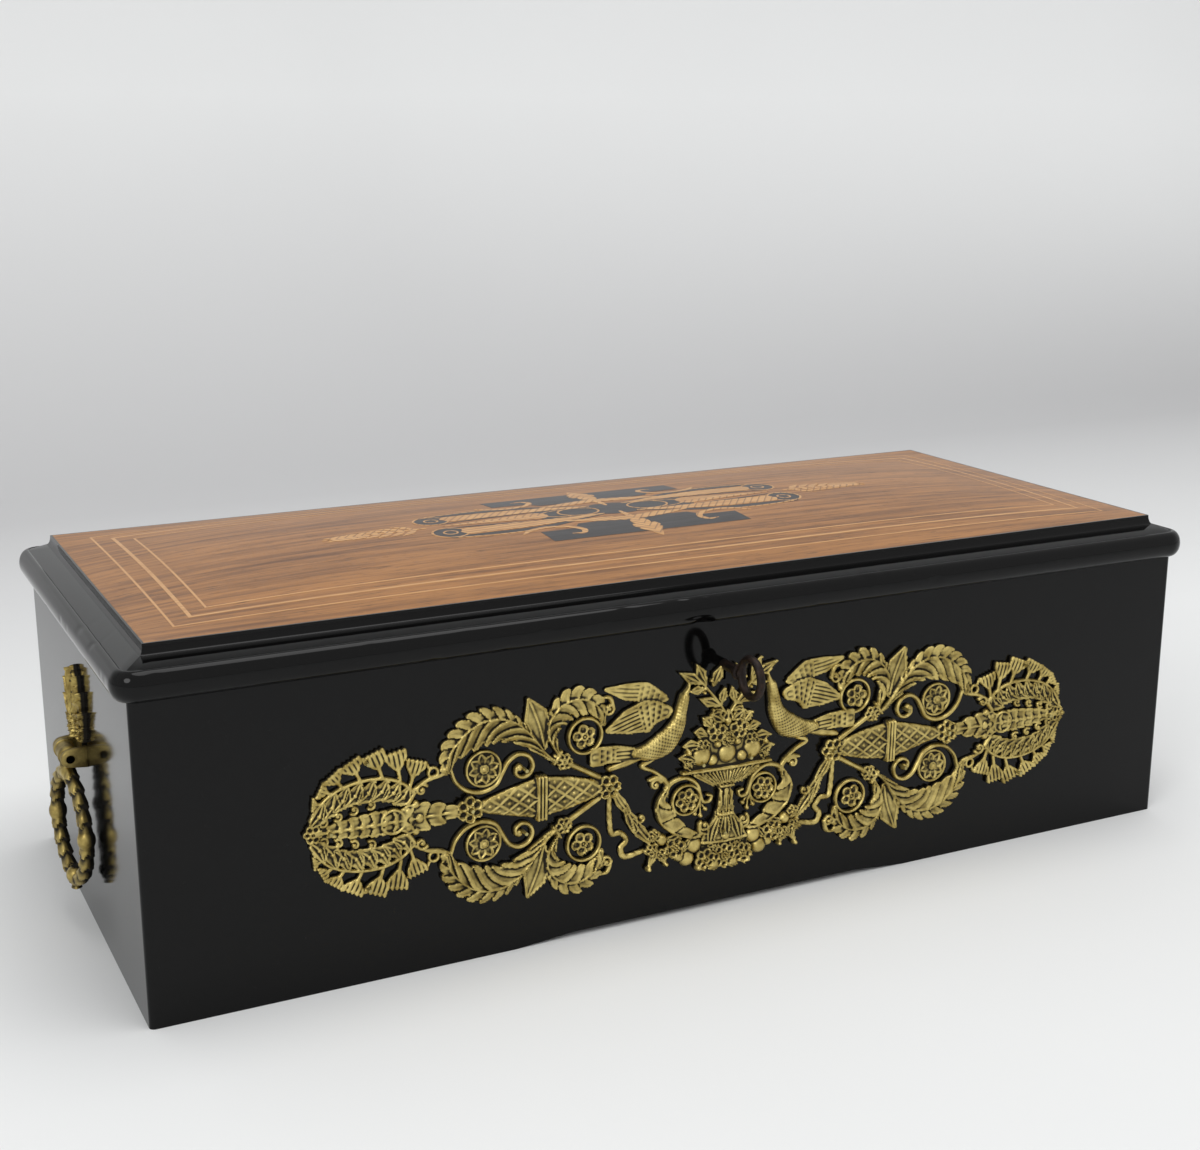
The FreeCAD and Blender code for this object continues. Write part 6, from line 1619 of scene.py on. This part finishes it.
dress(GILT_PINS, "mount_pins", "handle_pins")
print("the metals have their finishes")

# %% [markdown]
# ## Plain wood, card and glass
# The bottom board and the bearers are bare wood, the blank tune card has gone spotty with age, and the pane
# over the movement is old glass with a faint ripple and some dust.


# %% Wood, card and glass
def plain_wood():
    wood = Finish("plain_wood")
    rings = wood.noise(wood.stretch((4, 40, 70)), 2.5, detail=6)
    fibre = wood.noise(wood.stretch((30, 700, 700)), 2.0, detail=3)
    dark = wood.ramp(rings + 0.3 * fibre, 0.5, 0.85)
    return wood.set(
        Base_Color=wood.mix(colour(186, 144, 98), colour(136, 94, 58), dark),
        Roughness=0.55 + 0.2 * fibre,
        Normal=wood.bump(fibre, 0.00008, 0.5),
    )


def old_card():
    card = Finish("old_card")
    fibre = card.noise(card.place, 900, detail=4)
    foxing = card.ramp(card.noise(card.place, 55, detail=5), 0.6, 0.74)
    return card.set(
        Base_Color=card.mix(colour(232, 220, 190), colour(190, 152, 104), foxing * 0.6 + 0.15 * fibre),
        Roughness=0.82 + 0.1 * fibre,
        Normal=card.bump(fibre, 0.00004, 0.4),
    )


def clear_glass():
    glass = Finish("clear_glass")
    ripple = glass.noise(glass.place, 9, detail=2)
    dust = glass.ramp(glass.noise(glass.place, 500, detail=2), 0.7, 0.8)
    return glass.set(
        Base_Color=glass.mix(colour(243, 249, 246), colour(214, 216, 210), dust * 0.5),
        Roughness=0.02 + 0.1 * dust,
        IOR=1.5,
        Transmission_Weight=1.0,
        Normal=glass.bump(ripple, 0.0003, 0.15),
    )


dress(plain_wood(), "bottom_board", "bearers")
dress(old_card(), "tune_card")
dress(clear_glass(), "glass_pane")
print("wood, card and glass have their finishes")

# %% [markdown]
# ## Thousands of cylinder pins
# A real cylinder carries several thousand pins, too many for the solid model, which has two to a tooth.
# Geometry Nodes scatter them: points are spread over a plain tube with a fixed seed, each point gets a short
# pin turned along the surface's normal, and the instances are made real at the end.


# %% A garden of pins
class Garden:
    """A Geometry Nodes tree that grows copies of a small form on a surface."""

    def __init__(self, name):
        self.tree = bpy.data.node_groups.new(name, "GeometryNodeTree")
        self.tree.interface.new_socket("Geometry", in_out="INPUT", socket_type="NodeSocketGeometry")
        self.tree.interface.new_socket("Geometry", in_out="OUTPUT", socket_type="NodeSocketGeometry")
        self.start = self.tree.nodes.new("NodeGroupInput")
        self.end = self.tree.nodes.new("NodeGroupOutput")

    def knob(self, name, kind):
        """Adds a named input to the tree."""
        return self.tree.interface.new_socket(name, in_out="INPUT", socket_type=kind).identifier

    def add(self, kind, inputs, settings=None):
        made = self.tree.nodes.new(kind)
        for name, setting in (settings or {}).items():
            setattr(made, name, setting)
        for name, given in inputs.items():
            socket = made.inputs[name]
            if isinstance(given, bpy.types.NodeSocket):
                self.tree.links.new(given, socket)
            else:
                socket.default_value = given
        return made


def pin_garden():
    """Pins on a tube: spacing, pin radius and pin length are the tree's named inputs."""
    garden = Garden("cylinder_pin_garden")
    knobs = {name: garden.knob(name, "NodeSocketFloat") for name in ("Spacing", "Pin Radius", "Pin Length")}
    finish_knob = garden.knob("Finish", "NodeSocketMaterial")
    given = garden.start.outputs
    scatter = garden.add(
        "GeometryNodeDistributePointsOnFaces",
        {"Mesh": given["Geometry"], "Distance Min": given["Spacing"], "Density Max": 260000.0, "Seed": 7},
        {"distribute_method": "POISSON"},
    )
    pin = garden.add(
        "GeometryNodeMeshCylinder",
        {"Vertices": 6, "Radius": given["Pin Radius"], "Depth": given["Pin Length"]},
    )
    stand = garden.add(
        "GeometryNodeInstanceOnPoints",
        {
            "Points": scatter.outputs["Points"],
            "Instance": pin.outputs["Mesh"],
            "Rotation": scatter.outputs["Rotation"],
        },
    )
    real = garden.add("GeometryNodeRealizeInstances", {"Geometry": stand.outputs["Instances"]})
    dressed = garden.add(
        "GeometryNodeSetMaterial", {"Geometry": real.outputs["Geometry"], "Material": given["Finish"]}
    )
    garden.tree.links.new(dressed.outputs["Geometry"], garden.end.inputs["Geometry"])
    return garden.tree, knobs, finish_knob


print("pin garden ready")

# %% [markdown]
# ## Pinning the cylinder
# The tree is run once on a bare tube as a modifier. Its result is copied to a mesh of its own, and the tube
# is thrown away. Only the length that the comb covers is pinned.

# %% Cylinder pins
CYLINDER_AXIS = (10, 70)
PINNED_RADIUS = 27.2
PINNED_SPAN = (-102, 148)
TUBE_SIDES = 96
PIN_SIZES = {"Spacing": 2.3 * MM, "Pin Radius": 0.2 * MM, "Pin Length": 1.3 * MM}


def bare_tube():
    """The part of the cylinder's surface that is pinned, without its ends."""
    angles = np.linspace(0, 2 * math.pi, TUBE_SIDES, endpoint=False)
    y = CYLINDER_AXIS[0] + PINNED_RADIUS * np.cos(angles)
    z = CYLINDER_AXIS[1] + PINNED_RADIUS * np.sin(angles)
    loops = [np.stack([np.full(TUBE_SIDES, x), y, z], -1) for x in PINNED_SPAN]
    index = np.arange(2 * TUBE_SIDES).reshape(2, TUBE_SIDES)
    beside = np.roll(index, -1, 1)
    faces = np.stack([index[0], index[1], beside[1], beside[0]], -1).tolist()
    mesh = bpy.data.meshes.new("bare_tube")
    mesh.from_pydata((np.concatenate(loops) * MM).tolist(), [], faces)
    return mesh


def grow_pins():
    bed = bpy.data.objects.new("pin_bed", bare_tube())
    bpy.context.scene.collection.objects.link(bed)
    tree, knobs, finish_knob = pin_garden()
    modifier = bed.modifiers.new("pins", "NODES")
    modifier.node_group = tree
    for name, value in PIN_SIZES.items():
        modifier[knobs[name]] = value
    modifier[finish_knob] = STEEL.material
    seen = bed.evaluated_get(bpy.context.evaluated_depsgraph_get())
    pins = bpy.data.meshes.new_from_object(seen)
    bed.modifiers.remove(modifier)
    bpy.data.objects.remove(bed)
    return pins


show(grow_pins(), "cylinder_pin_field", STEEL, "cylinder", "cylinder_pins")
